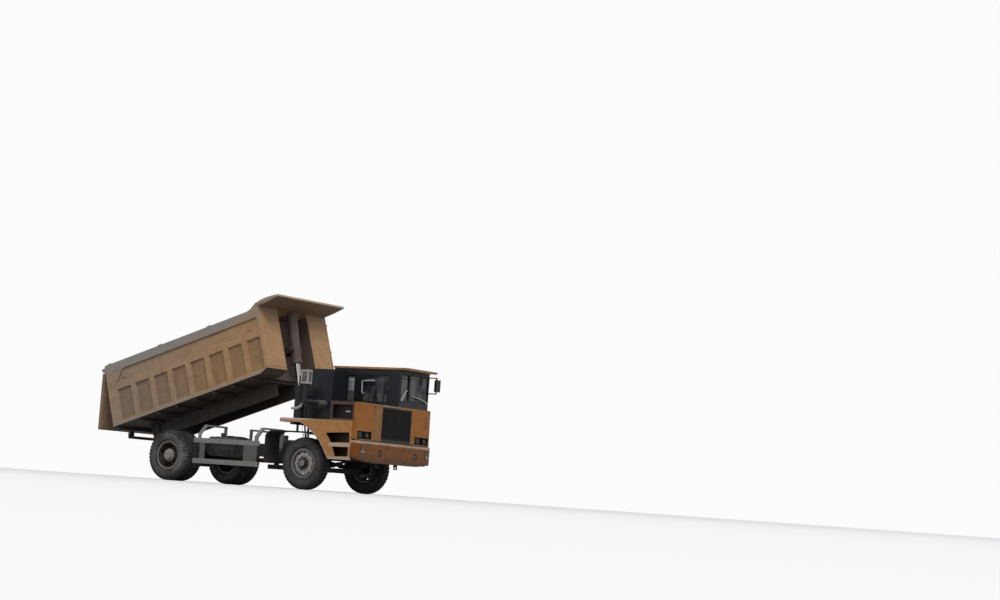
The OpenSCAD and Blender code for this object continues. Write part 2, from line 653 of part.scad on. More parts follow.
fork_y = king_y + 66;
module knuckle() {
    for (z = [boss_z[0] - 57, boss_z[1] + 2])
        block([-60, 60], [king_y - 55, fork_y + 25], [z, z + 55]);
    block([-70, 70], [fork_y, fork_y + 25], [boss_z[0] - 57, boss_z[1] + 57]);
    bar_z(king_d, [boss_z[0] - 30, boss_z[1] + 30], 0, king_y);
    bar_y(front_spindle_d + 30, [fork_y + 20, front_track / 2 - 80], 0, axle_z);
    bar_y(front_spindle_d, [fork_y + 20, front_track / 2 + 120], 0, axle_z);
    side_form([[-190, axle_z - 113], [-40, axle_z - 93], [-40, axle_z - 53], [-190, axle_z - 73]], [king_y + 62, fork_y + 20]);
}

module knuckle_left() color("gray") in_truck() translate([wheelbase, 0, 0]) knuckle();

module knuckle_right() color("gray") in_truck() translate([wheelbase, 0, 0]) mirror([0, 1, 0]) knuckle();

axle_end = rear_track / 2 - 256;
module rear_axle() color("dimgray") in_truck() {
    bar_y(170, [-axle_end, axle_end], 0, axle_z);
    bar_y(rear_spindle_d, [-rear_track / 2 - 130, rear_track / 2 + 130], 0, axle_z);
    bar_x(430, [-130, 110], 0, axle_z);
    bar_x(330, [-180, -125], 0, axle_z);
    bar_x(250, [105, 330], 0, axle_z);
    both_sides() block([-80, 80], [450, 560], [axle_z, axle_z + 122]);
}

// Springs: middle X, middle Y, foot of the pack, half length, number of leaves
springs = [[0, 500, axle_z + 122 + seat, 720, 5], [wheelbase, 490, axle_z - 53 + seat, 720, 5]];
leaf_t = 22;
spring_w = 90;
module leaf(r, half) {
    a = asin(half / r);
    points = [for (i = [-6 : 6]) [r * sin(a * i / 6), r - r * cos(a * i / 6)]];
    inner = [for (i = [6 : -1 : -6]) [(r - leaf_t) * sin(a * i / 6), r - (r - leaf_t) * cos(a * i / 6)]];
    polygon(concat(points, inner));
}

module leaf_springs() color("dimgray") in_truck() both_sides() for (s = springs) {
    translate([s[0], s[1] + spring_w / 2, s[2]]) rotate([90, 0, 0]) linear_extrude(spring_w)
        for (k = [0 : s[4] - 1])
            translate([0, k * (leaf_t - 1)]) leaf(2600, s[3] * (1 - 0.15 * (s[4] - 1 - k)));
    for (dx = [-s[3] + 30, s[3] - 30])
        block([s[0] + dx - 40, s[0] + dx + 40], [rail_out + seat, s[1] + spring_w / 2], [s[2] + 170, rail_top - 40]);
}

module prop_shaft() color("gray") in_truck() {
    bar_x(110, [420, gearbox_x[0] - 90], 0, shaft_z);
    bar_x(180, [330 + seat, 425], 0, shaft_z);
    bar_x(180, [gearbox_x[0] - 95, gearbox_x[0] - seat], 0, shaft_z);
}

module mirror_arm(z) block([cab_front - 60, mirror_front - 25], [cab_side + seat, cab_side + 25], [z, z + 25]);

mirror_z = [2500, 2905];
module rear_mirror() color("black") in_truck() {
    mirror_arm(mirror_z[0]);
    mirror_arm(mirror_z[1] - 25);
    block([mirror_front - 50, mirror_front - 25], [cab_side + seat, cab_side + 25], mirror_z);
    block([mirror_front - 65, mirror_front], [cab_side - 40, cab_side + 130], [mirror_z[0] + 60, mirror_z[1] - 55]);
}

tyre_r = tyre_od / 2;
seat_r = rim_d / 2;
flange_r = seat_r + flange_h;
half_w = tyre_w / 2;
module tyre() {
    rotate_extrude($fn = 72)
        polygon([[seat_r + seat, -98.5], [flange_r + seat, -103.5], [flange_r + 4, -118], [flange_r + 30, -half_w + 18], [seat_r + 140, -half_w],
                 [tyre_r - 100, -half_w + 6], [tyre_r - 30, -half_w + 26], [tyre_r, -half_w + 52],
                 [tyre_r, half_w - 52], [tyre_r - 30, half_w - 26], [tyre_r - 100, half_w - 6],
                 [seat_r + 140, half_w], [flange_r + 30, half_w - 18], [flange_r + 4, 118], [flange_r + seat, 103.5], [seat_r + seat, 98.5]]);
}

// Rim base and its two flanges
function rim_base() = [[seat_r - 14, -116], [flange_r, -116], [flange_r, -104], [seat_r, -100 + 1],
                       [seat_r, 100 - 1], [flange_r, 104], [flange_r, 116], [seat_r - 14, 116]];

module nuts(count, r, z, d) for (i = [0 : count - 1])
    rotate([0, 0, 360 * i / count]) translate([r, 0, z[0]]) cylinder(d = d, h = z[1] - z[0], $fn = 6);

module front_wheel_metal() difference() {
    union() {
        rotate_extrude($fn = 72) polygon(rim_base());
        rotate_extrude($fn = 72) polygon([[seat_r - 12, 40], [seat_r - 12, 56], [235, 96], [80, 96], [80, 80], [228, 80]]);
        rotate_extrude($fn = 48) polygon([[0, 136], [0, 168], [70, 168], [84, 150], [92, 96], [110, 80], [110, -60],
                                  [185, -60], [205, -50], [205, 10], [225, 10], [225, -125], [205, -125],
                                  [205, -75], [60, -75], [front_spindle_d / 2 + bearing_gap, -65],
                                  [front_spindle_d / 2 + bearing_gap, 136]]);
        nuts(10, 165, [90, 128], 34);
    }
    for (i = [0 : 9])
        rotate([0, 0, 18 + 36 * i]) translate([250, 0, 20]) cylinder(d = 46, h = 120);
}

module rear_wheel_metal() {
    half = dual_pitch / 2;
    difference() {
        union() {
            for (z = [-half, half])
                translate([0, 0, z]) rotate_extrude($fn = 72) polygon(rim_base());
            for (m = [0, 1])
                mirror([0, 0, m]) rotate_extrude($fn = 72)
                    polygon([[seat_r - 12, half - 80], [seat_r - 12, half - 60], [245, 16], [150, 16], [150, 0], [240, 0]]);
        }
        for (i = [0 : 9])
            rotate([0, 0, 18 + 36 * i]) translate([262, 0, -200]) cylinder(d = 40, h = 400);
    }
    r = rear_spindle_d / 2 + bearing_gap;
    rotate_extrude($fn = 48) polygon([[0, 140], [0, 318], [95, 318], [118, 300], [118, 262], [155, 240], [155, -30],
                              [215, -40], [215, -205], [195, -205], [195, -60], [r, -60], [r, 140]]);
    nuts(10, 185, [10, 52], 36);
}

module front_tyre_left() color("dimgray") in_wheel(wheelbase, front_track / 2) tyre();

module front_rim_left() color("lightgray") in_wheel(wheelbase, front_track / 2) front_wheel_metal();

module front_tyre_right() color("dimgray") mirror([0, 1, 0]) in_wheel(wheelbase, front_track / 2) tyre();

module front_rim_right() color("lightgray") mirror([0, 1, 0]) in_wheel(wheelbase, front_track / 2) front_wheel_metal();

module tyre_pair() for (z = [-dual_pitch / 2, dual_pitch / 2])
    translate([0, 0, z]) tyre();

module rear_tyres_left() color("dimgray") in_wheel(0, rear_track / 2) tyre_pair();

module rear_rims_left() color("lightgray") in_wheel(0, rear_track / 2) rear_wheel_metal();

module rear_tyres_right() color("dimgray") mirror([0, 1, 0]) in_wheel(0, rear_track / 2) tyre_pair();

module rear_rims_right() color("lightgray") mirror([0, 1, 0]) in_wheel(0, rear_track / 2) rear_wheel_metal();

nose_u = 4190;
nose_w = bed_under + 90;
panel_w0 = 570;
panel_w1 = 1350;
band_w = 1520;
rail_under = 1835;
panel_len = 440;
panel_u0 = -270;
recess_y = recess_w / 2;
recess_u = bed_front - recess_depth;
canopy_y = bed_y - 40;
// Upper and lower outline of the canopy from the top of the front panel
canopy_top = [[-320, 0], [-200, 36], [-100, 96], [0, 148], [110, 175], [260, 182], [canopy_reach - 180, 172], [canopy_reach, 150]];
canopy_foot = [[canopy_reach, 105], [canopy_reach - 170, 88], [310, 70], [0, 60], [-130, 40], [-200, 5], [-250, -10], [-320, -35]];

module bed_side() difference() {
    side_form(concat([[-bed_rear, bed_under], [nose_u, bed_under], [bed_front, nose_w]],
                     [for (i = [3 : -1 : 1]) canopy_top[i] + [bed_front, bed_top - 5]],
                     [[bed_front + canopy_top[0][0], bed_top], [-bed_rear, bed_top]]), [bed_y - wall_t, bed_y]);
    for (i = [0 : 7]) {
        u = panel_u0 + i * panel_pitch;
        block([u, min(u + panel_len, bed_front - 60)], [bed_y - panel_recess, bed_y + 1], [panel_w0, panel_w1]);
    }
    side_form([[-290, band_w], [bed_front - 60, band_w], [bed_front - 60, rail_under], [-10, rail_under]],
              [bed_y - panel_recess, bed_y + 1]);
}

module bed_shell() color("peru") in_bed() {
    both_sides() bed_side();
    block([-bed_rear, recess_u - 5], [-bed_y + wall_t / 2, bed_y - wall_t / 2], [bed_under, bed_under + floor_t]);
    both_sides() side_form([[recess_u - 30, bed_under], [nose_u, bed_under], [bed_front, nose_w], [bed_front, nose_w + floor_t],
                            [nose_u - 10, bed_under + floor_t], [recess_u - 30, bed_under + floor_t]],
                           [recess_y, bed_y - wall_t / 2]);
    both_sides() block([bed_front - wall_t, bed_front], [recess_y, bed_y - wall_t / 2], [nose_w, bed_top + 60]);
    both_sides() side_form([[recess_u - 30, bed_under], [nose_u, bed_under], [bed_front - 1, nose_w], [bed_front - 1, bed_top + 75],
                            [bed_front - 330, bed_top - 10], [recess_u - 30, bed_top - 10]], [recess_y, recess_y + 30]);
    block([recess_u - 30, recess_u], [-recess_y - 1, recess_y + 1], [bed_under, bed_top - 10]);
    side_form(concat([[recess_u - 60, bed_top - 60], [recess_u - 60, bed_top]],
                     [for (p = concat(canopy_top, canopy_foot)) p + [bed_front, bed_top]]), [-canopy_y, canopy_y]);
    both_sides() difference() {
        union() {
            block([gate_pin_u, -bed_rear + 10], [gate_w / 2 + 8, bed_y - 4], [gate_pin_w - 45, gate_pin_w + 45]);
            bar_y(90, [gate_w / 2 + 8, bed_y - 4], gate_pin_u, gate_pin_w);
        }
        bar_y(gate_pin_d + 2 * bearing_gap, [gate_w / 2, bed_y + 10], gate_pin_u, gate_pin_w);
    }
}

module bed_frame() color("saddlebrown") in_bed() {
    both_sides() {
        block([60, 3850], [sill_y, sill_y + sill_w], [sill_foot, bed_under - seat]);
        difference() {
            side_form([[-130, bed_under - seat], [130, bed_under - seat], [90, -40], [40, -90], [-40, -90], [-90, -40]],
                      [ear_y, ear_y + ear_t]);
            bar_y(bed_pin_d, [ear_y - 1, ear_y + ear_t + 1], 0, 0);
        }
    }
    bar_y(bed_pin_d, [-ear_y - ear_t, ear_y + ear_t], 0, 0);
    for (i = [0 : 6])
        block([210 + i * panel_pitch, 290 + i * panel_pitch], [-bed_y + 60, bed_y - 60], [400, bed_under - seat]);
    block([-bed_rear + 20, -bed_rear + 120], [-bed_y + 60, bed_y - 60], [380, bed_under - seat]);
    both_sides() difference() {
        block([recess_u + seat, hoist_u + 70], [barrel_d / 2 + 10, barrel_d / 2 + 45], [hoist_w - 80, hoist_w + 80]);
        bar_y(trunnion_d + 2 * bearing_gap, [0, barrel_d], hoist_u, hoist_w);
    }
}

module tailgate() color("peru") in_truck() translate([gate_pin_x, 0, gate_pin_z]) {
    half = gate_w / 2;
    bar_y(2 * gate_r, [-half, half], 0, 0);
    bar_y(gate_pin_d, [-bed_y + 6, bed_y - 6], 0, 0);
    block([24, 44], [-half, half], [-gate_drop, -10]);
    for (z = [-gate_drop, -gate_drop / 2 - 60, -170])
        block([-44, 30], [-half, half], [z, z + 100]);
    for (i = [0 : 5])
        block([-44, 30], [-half + i * (gate_w - 90) / 5, -half + 90 + i * (gate_w - 90) / 5], [-gate_drop, -100]);
}

barrel_end = 360;
barrel_head = 860;
stage_wall_gap = 0.3;
stage_len = 1240;

module hoist_barrel() color("sienna") in_hoist() {
    difference() {
        union() {
            translate([0, 0, -barrel_head]) cylinder(d = barrel_d, h = barrel_head + barrel_end);
            translate([0, 0, barrel_end - 60]) cylinder(d = barrel_d + 20, h = 60);
            rotate([90, 0, 0]) translate([0, 0, -barrel_d / 2 - 45]) cylinder(d = trunnion_d, h = barrel_d + 90);
        }
        translate([0, 0, -barrel_head + 15]) cylinder(d = sleeve_1_d + 2 * stage_wall_gap, h = barrel_head + barrel_end);
    }
}

// A tube with its collar: how far it starts beyond the barrel's head, and its stop's place below the pivot
module stage(d, bore, start, stop, out) translate([0, 0, out]) difference() {
    union() {
        translate([0, 0, start]) cylinder(d = d, h = stop - start);
        translate([0, 0, stop - 35]) cylinder(d = d + 24, h = 35);
    }
    translate([0, 0, start - 1]) cylinder(d = bore + 2 * stage_wall_gap, h = stop - start + 2);
}

module hoist_sleeve_1() color("white") in_hoist()
    stage(sleeve_1_d, sleeve_2_d, barrel_end + 40 - stage_len, barrel_end + 40, stage_out);

module hoist_sleeve_2() color("white") in_hoist()
    stage(sleeve_2_d, rod_d, barrel_end + 80 - stage_len - 20, barrel_end + 80, 2 * stage_out);

module hoist_rod() color("white") in_hoist() difference() {
    union() {
        translate([0, 0, barrel_end - stage_len + 60 + 3 * stage_out])
            cylinder(d = rod_d, h = hoist_len - (barrel_end - stage_len + 60 + 3 * stage_out));
        translate([0, 0, hoist_len]) rotate([90, 0, 0]) translate([0, 0, -eye_half]) cylinder(r = eye_r, h = 2 * eye_half);
    }
    translate([0, 0, hoist_len]) rotate([90, 0, 0]) translate([0, 0, -eye_half - 1])
        cylinder(d = sleeve_1_d / 3 + 1, h = 2 * eye_half + 2);
}

chassis_frame();
deck_frame();
front_bumper();
front_panel();
grille();
lamps();
deck();
right_fender();
left_fender();
wheel_guards();
side_locker();
cab_shell();
cab_roof();
cab_glass();
cab_door();
door_glass();
driver_seat();
dashboard();
engine_block();
radiator();
air_tower();
air_cleaner();
fuel_tank();
hydraulic_tank();
side_guards();
front_axle();
rear_axle();
leaf_springs();
prop_shaft();
rear_mirror();
knuckle_left();
knuckle_right();
front_tyre_left();
front_rim_left();
front_tyre_right();
front_rim_right();
rear_tyres_left();
rear_rims_left();
rear_tyres_right();
rear_rims_right();
bed_shell();
bed_frame();
tailgate();
hoist_barrel();
hoist_sleeve_1();
hoist_sleeve_2();
hoist_rod();
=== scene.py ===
import json
from itertools import product
from math import cos, pi, radians, sin

import bmesh
import bpy
from bpy.props import FloatProperty, FloatVectorProperty, IntProperty, PointerProperty
from mathutils import Matrix, Vector


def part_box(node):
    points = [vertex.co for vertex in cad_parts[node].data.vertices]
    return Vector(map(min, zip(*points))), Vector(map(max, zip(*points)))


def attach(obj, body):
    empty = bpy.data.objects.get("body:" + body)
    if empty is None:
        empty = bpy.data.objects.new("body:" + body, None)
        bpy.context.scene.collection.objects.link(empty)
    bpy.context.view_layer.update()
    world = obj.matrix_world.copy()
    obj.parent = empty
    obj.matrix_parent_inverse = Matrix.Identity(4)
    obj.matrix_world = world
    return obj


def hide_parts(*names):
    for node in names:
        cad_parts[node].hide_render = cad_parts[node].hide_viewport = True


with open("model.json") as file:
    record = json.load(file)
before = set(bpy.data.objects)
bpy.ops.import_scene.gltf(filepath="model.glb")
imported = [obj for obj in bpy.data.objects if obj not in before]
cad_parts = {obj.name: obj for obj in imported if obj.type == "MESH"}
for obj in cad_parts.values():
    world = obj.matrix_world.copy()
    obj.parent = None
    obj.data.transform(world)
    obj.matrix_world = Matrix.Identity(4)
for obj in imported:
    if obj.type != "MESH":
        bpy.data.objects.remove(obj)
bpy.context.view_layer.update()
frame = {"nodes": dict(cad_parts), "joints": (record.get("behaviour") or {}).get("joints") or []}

bl_info = {
    "name": "Mining dump truck looks",
    "version": (1, 0, 0),
    "blender": (4, 5, 0),
    "location": "View3D > Sidebar > Dump truck",
    "description": "Finishes, tyres, lamps, trim and stage of a two-axle mining dump truck",
    "category": "Object",
}


def middle(node):
    low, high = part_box(node)
    return (low + high) / 2


JOINTS = {joint["name"]: joint for joint in frame["joints"]}
SIDES = ((-1, "right"), (1, "left"))
REAR_AXLE = middle("rear_tyres_right").x
FRONT_AXLE = middle("front_tyre_right").x
AXLE_HEIGHT = middle("rear_tyres_right").z
TYRE_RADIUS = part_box("front_tyre_right")[1].z / 2
TYRE_HALF = (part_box("front_tyre_right")[1].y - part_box("front_tyre_right")[0].y) / 2
BED_PIN = Vector(JOINTS["bed_tilt"]["pos_m"])
BED_TILT = radians(-JOINTS["bed_tilt"]["range_deg"][0])
GATE_PIN = Vector(JOINTS["tailgate_swing"]["pos_m"])
HOIST_TOP = Vector(JOINTS["hoist_swing"]["pos_m"])
HOIST_DOWN = Vector(JOINTS["hoist_slide_1"]["axis"])

# Faces that trim lies on, as distances from the rear axle or from the truck's middle
PANEL_FACE = 5.683
BUMPER_FACE = 5.776
CAB_FRONT = 5.650
CAB_REAR = 3.690
CAB_RIGHT = 0.160
CAB_LEFT = 1.380
MUDGUARD_SIDE = 1.525
GUARD_SIDE = 1.470
TOWER_SIDE = -0.749
RAIL_SIDE = 0.430
BED_SIDE = 1.36
BED_FRONT = 4.34
WINDOW_HEIGHTS = (2.20, 2.83)
SCREEN_HEIGHTS = (2.28, 2.87)


def at(x, y, z):
    """A point given from the middle of the rear axle on the floor."""
    return Vector((x + REAR_AXLE, y, z))


def bed(u, y, w):
    """A point given along the bed's floor and square to it, from the bed's hinge pin."""
    return BED_PIN + Vector((u * cos(BED_TILT) - w * sin(BED_TILT), y, u * sin(BED_TILT) + w * cos(BED_TILT)))


def mirrored(sign, *across):
    """A span on one side of the truck, from low to high."""
    return sorted(sign * y for y in across)


# Materials

FINISHES = {}
WET_GLOSS = 0.5


class Wire:
    """A socket in a finish's node tree. Expressions on wires add the nodes that work them out."""

    def __init__(self, finish, socket):
        self.finish, self.socket = finish, socket

    def __add__(self, other):
        return self.finish.work("ADD", self, other)

    def __radd__(self, other):
        return self.finish.work("ADD", other, self)

    def __sub__(self, other):
        return self.finish.work("SUBTRACT", self, other)

    def __rsub__(self, other):
        return self.finish.work("SUBTRACT", other, self)

    def __mul__(self, other):
        return self.finish.work("MULTIPLY", self, other)

    def __rmul__(self, other):
        return self.finish.work("MULTIPLY", other, self)

    def part(self, index):
        return self.finish.node("ShaderNodeSeparateXYZ", {}, {0: self}, index)


class Finish:
    """One material, or a world, and the nodes that its expressions add."""

    def __init__(self, name, world=None):
        self.name, self.material = name, world or bpy.data.materials.new(name)
        self.material.use_nodes = True
        self.tree = self.material.node_tree
        self.tree.nodes.clear()
        self.end = self.tree.nodes.new("ShaderNodeOutputWorld" if world else "ShaderNodeOutputMaterial")

    def cover(self, shader):
        """Ends the tree with a shader."""
        self.tree.links.new(shader.socket, self.end.inputs["Surface"])

    def surface(self, **values):
        values.setdefault("specular_ior_level", 0.22)
        words = {key.replace("_", " ").title().replace("Ior", "IOR"): value for key, value in values.items()}
        self.cover(self.node("ShaderNodeBsdfPrincipled", {}, words))
        FINISHES[self.name] = self.material

    def seen(self):
        """1 for what the camera sees, straight on or in gloss and glass, and 0 for what lights the truck."""
        words = ("Camera", "Glossy", "Transmission")
        camera, gloss, glass = (self.node("ShaderNodeLightPath", {}, {}, f"Is {word} Ray") for word in words)
        return self.work("MAXIMUM", self.work("MAXIMUM", camera, gloss), glass)

    def feed(self, socket, value):
        if isinstance(value, Wire):
            self.tree.links.new(value.socket, socket)
        elif socket.type == "RGBA" and len(value) == 3:
            socket.default_value = (*value, 1)
        else:
            socket.default_value = value

    def node(self, kind, settings, values, out=0, stops=()):
        """A node with its settings, what its inputs take and, for a ramp, its stops."""
        made = self.tree.nodes.new(kind)
        for key, value in settings.items():
            setattr(made, key, value)
        for index, (place, colour) in enumerate(stops):
            stop = made.color_ramp.elements[index] if index < 2 else made.color_ramp.elements.new(place)
            stop.position, stop.color = place, (*colour, 1)
        for key, value in values.items():
            self.feed(made.inputs[key], value)
        return Wire(self, made.outputs[out])

    def work(self, operation, *values):
        """A Math node, or a Vector Math node where a value isn't a plain number."""
        if not any(isinstance(v, tuple) or isinstance(v, Wire) and v.socket.type != "VALUE" for v in values):
            return self.node("ShaderNodeMath", {"operation": operation}, dict(enumerate(values)))
        values = ((v,) * 3 if isinstance(v, (int, float)) else v for v in values)
        return self.node("ShaderNodeVectorMath", {"operation": operation}, dict(enumerate(values)))

    def place(self):
        return self.node("ShaderNodeTexCoord", {}, {}, "Object")

    def upward(self):
        """How far a face looks up: 1 for a floor and -1 for an underside."""
        return self.node("ShaderNodeTexCoord", {}, {}, "Normal").part(2)

    def aside(self, place):
        """How far a point lies to the left or right of the truck's middle."""
        return self.work("ABSOLUTE", place.part(1))

    def reach(self, place, wheel):
        """How far a point lies from a wheel's axle."""
        return self.length((place + tuple(-c for c in (wheel.x, 0.0, wheel.z))) * (1, 0, 1))

    def length(self, vector):
        """A vector's length."""
        return self.node("ShaderNodeVectorMath", {"operation": "LENGTH"}, {0: vector}, "Value")

    def noise(self, place, scale, detail=4.0, rough=0.6, bend=0.0):
        values = {"Vector": place, "Scale": scale, "Detail": detail, "Roughness": rough, "Distortion": bend}
        return self.node("ShaderNodeTexNoise", {}, values)

    def step(self, value, low, high):
        return self.node("ShaderNodeMapRange", {"interpolation_type": "SMOOTHSTEP"}, {0: value, 1: low, 2: high})

    def band(self, value, low, high, soft=0.01):
        """1 between two limits and 0 outside them."""
        return self.step(value, low - soft, low + soft) * self.step(value, high + soft, high - soft)

    def mix(self, share, first, second, blend="MIX"):
        settings = {"data_type": "RGBA", "blend_type": blend}
        return self.node("ShaderNodeMix", settings, {0: share, 6: first, 7: second}, 2)

    def touched(self, here, touches):
        """A colour with touches laid over it, each a mask, a colour and, if not plain, a way to blend."""
        for mask, tint, *blend in touches:
            here = self.mix(mask, here, tint, *blend)
        return here

    def bump(self, height, depth, strength=1.0):
        return self.node("ShaderNodeBump", {}, {"Height": height, "Distance": depth, "Strength": strength})

    def corners(self, wide):
        """1 at corners and 0 on open faces, from how far a rounded corner would turn the surface."""
        rounded = self.node("ShaderNodeBevel", {"samples": 4}, {"Radius": wide})
        flat = self.node("ShaderNodeNewGeometry", {}, {}, "True Normal")
        same = self.node("ShaderNodeVectorMath", {"operation": "DOT_PRODUCT"}, {0: rounded, 1: flat}, "Value")
        return self.step(1 - same, 0.02, 0.22)


def shaded(colour, *shares):
    """A colour made darker or brighter, by one share or by one for each channel."""
    return tuple(min(1, v * share) for v, share in zip(colour, shares if len(shares) > 1 else shares * 3))


def blended(first, second, share):
    return tuple((1 - share) * a + share * b for a, b in zip(first, second))


def dusty(name, colour, dust, share, gloss=0.45, metal=0.0, wear=0.0, worn=(0.1, 0.07, 0.05), rubbed=None, touch=None):
    """Paint or metal under mine dust: more of it below and on faces that look up, with streaks and rubbed corners."""
    f = Finish(name)
    place = f.place()
    height, up = place.part(2), f.upward()
    cloud = f.noise(place, 0.8, 5, 0.62, 0.4)
    spots = f.noise(place, 6.5, 5, 0.65)
    fine = f.noise(place, 85, 3, 0.7)
    streak = f.noise(place * (15, 15, 0.9), 1, 4, 0.6)
    dust_map = cloud * 0.5 + spots * 0.28 + streak * 0.22 + f.step(up, 0.25, 0.95) * 0.3
    dust_map = dust_map + f.step(height, 1.5, 0.2) * 0.16
    dust_here = f.step(dust_map, 0.68 - share * 0.5, 0.98 - share * 0.38)
    base = f.mix(f.step(spots, 0.3, 0.75), shaded(colour, 0.8), shaded(colour, 1.12))
    worn_here = f.step(f.noise(place, 19, 6, 0.72) + cloud * 0.25, 0.80 - wear * 0.14, 0.86 - wear * 0.1)
    base = f.mix(worn_here, base, worn)
    here = f.mix(dust_here * 0.92, base, f.mix(fine, shaded(dust, 0.82), dust))
    if rubbed:
        here = f.mix(f.corners(0.016) * f.step(spots, 0.3, 0.6) * 0.8, here, rubbed)
    if touch:
        here = f.touched(here, touch(f, place, spots))
    rough = gloss + dust_here * (0.92 - gloss) + worn_here * 0.1
    normal = f.bump(fine + spots * 2.0 - worn_here * 0.6, 0.0006)
    f.surface(base_color=here, roughness=rough, metallic=metal * (1 - dust_here), normal=normal)


def mudguard_touch(f, place, spots):
    """Painted shade inside the mudguard's step openings, and paint that boots and stones have rubbed pale."""
    side, height = f.aside(place), place.part(2)
    # Painted shade: the inner faces of the step openings are darkened nearly to black.
    yield f.step(side, 1.489, 1.479) * f.step(height, 1.626, 1.620) * 0.93, (0.012, 0.010, 0.008)
    steps = f.step(place.part(0), REAR_AXLE + 4.93, REAR_AXLE + 4.98)
    boots = (f.band(height, 1.048, 1.128) + f.step(height, 0.812, 0.800)) * steps * f.step(side, 1.487, 1.493)
    yield boots * (0.45 + spots * 0.6), (0.46, 0.40, 0.35)
    rail = f.step(height, 1.595, 1.640) * f.step(place.part(0), REAR_AXLE + 4.6, REAR_AXLE + 3.9)
    yield rail * (0.55 + spots * 0.7), (0.60, 0.52, 0.46)


def bumper_touch(f, place, spots):
    """Paint that is rubbed and dusted pale on the bumper's top edge, and grimed towards its foot."""
    height = place.part(2)
    yield f.step(height + spots * 0.12, 1.00, 0.80) * (0.35 + spots * 0.7), (0.042, 0.029, 0.021)
    yield f.step(height + spots * 0.03, 1.155, 1.185) * (0.45 + spots * 0.6), (0.50, 0.38, 0.28)


def panel_touch(f, place, spots):
    """Dust beside the grille, rust under the left lamp's upper hinge, a painted shadow along the panel's foot and under
    the grille, and painted shade in the lamps' recesses.
    """
    across, height = place.part(1), place.part(2)
    yield f.band(across, -0.80, -0.50, 0.03) * (0.2 + spots * 0.55), (0.22, 0.135, 0.068)
    hinge = f.band(across, 1.24, 1.37, 0.05) * f.band(height, 1.62, 1.93, 0.05)
    rust = hinge + f.band(across, -0.84, -0.74, 0.03) * f.step(height, 1.45, 2.05)
    yield rust * f.step(spots, 0.42, 0.62) * 0.85, (0.045, 0.022, 0.012)
    low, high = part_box("grille")
    # Painted shadow: a dark strip along the panel's foot, taller under the grille.
    painted_foot_shadow = f.step(height, 1.252, 1.244) + f.step(height, 1.292, 1.284) * f.band(across, low.y, high.y)
    yield painted_foot_shadow * 0.9, (0.016, 0.011, 0.008)
    # Painted shade: the lamps' recesses in the panel are darkened nearly to black.
    painted_recess_shade = f.band(f.aside(place), 0.868, 1.452, 0.003) * f.band(height, 1.243, 1.447, 0.003)
    face = REAR_AXLE + PANEL_FACE
    yield painted_recess_shade * f.step(place.part(0), face - 0.001, face - 0.003) * 0.95, (0.010, 0.009, 0.008)


def deck_touch(f, place, spots):
    """Painted shade inside the locker."""
    low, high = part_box("side_locker")
    inside = f.band(place.part(0), low.x + 0.045, high.x - 0.045, 0.004)
    inside = inside * f.band(place.part(2), low.z + 0.04, high.z - 0.04, 0.004)
    # Painted shade: the locker's inner faces are darkened nearly to black.
    yield inside * f.step(place.part(1), low.y + 0.008, low.y + 0.016) * 0.93, (0.010, 0.009, 0.009)


def guard_touch(f, place, spots):
    """Guard posts that are dirtier than the rails."""
    yield f.band(place.part(2), 0.575, 0.955) * (0.45 + spots * 0.4), (0.045, 0.044, 0.043)


def intake_touch(f, place, spots):
    """Dark louvres in the intake's box and grime on its line to the tower."""
    x, y, z = (place.part(i) for i in range(3))
    box, half = REAR_AXLE + 4.045, 0.072
    sides = f.band(y, -1.422, -1.322, 0.006) + f.band(x, box - half, box + half, 0.006)
    yield f.band(z, 2.512, 2.770, 0.008) * sides * 0.62, (0.035, 0.034, 0.034)
    yield f.step(z, 2.42, 2.40) * f.step(y, -1.22, -1.20) * (0.75 + spots * 0.3), (0.040, 0.043, 0.050)


def bed_touch(f, side, ahead, high, up, spots, dust, rail):
    """Shade in the bed's panels, hollow front and underside, and rock dust along its rails."""
    painted_recess_shade = f.step(side, 1.335, 1.325) * f.step(side, 1.305, 1.315) * f.band(high, 0.575, 1.345, 0.01)
    yield painted_recess_shade * 0.72, (0.62, 0.61, 0.60), "MULTIPLY"
    hollow = f.step(side, 0.582, 0.574) * f.step(ahead, 3.935, 3.945) * f.step(high, 2.085, 2.0) * f.step(up, 0.7, 0.5)
    yield hollow * 0.90, (0.090, 0.070, 0.064)
    canopy = f.step(high, 2.0, 2.085) * f.step(ahead, 4.36, 4.42) * f.step(high, 2.175, 2.165)
    yield canopy * 0.4, (0.13, 0.11, 0.105)
    yield f.step(up, -0.2, -0.75) * f.step(high, 1.0, 0.9) * 0.85, (0.060, 0.050, 0.047)
    grey = f.step(high, 1.84, 1.87) * f.step(side, 1.20, 1.26) * (0.4 + f.step(ahead, 4.3, 3.4) * 0.6)
    yield grey * (0.55 + spots * 0.55), rail
    yield f.step(high, 0.545, 0.505) * f.step(side, 1.343, 1.350) * (0.35 + spots * 0.5), rail
    yield f.corners(0.018) * f.step(spots, 0.3, 0.62) * 0.6, blended(dust, rail, 0.5)


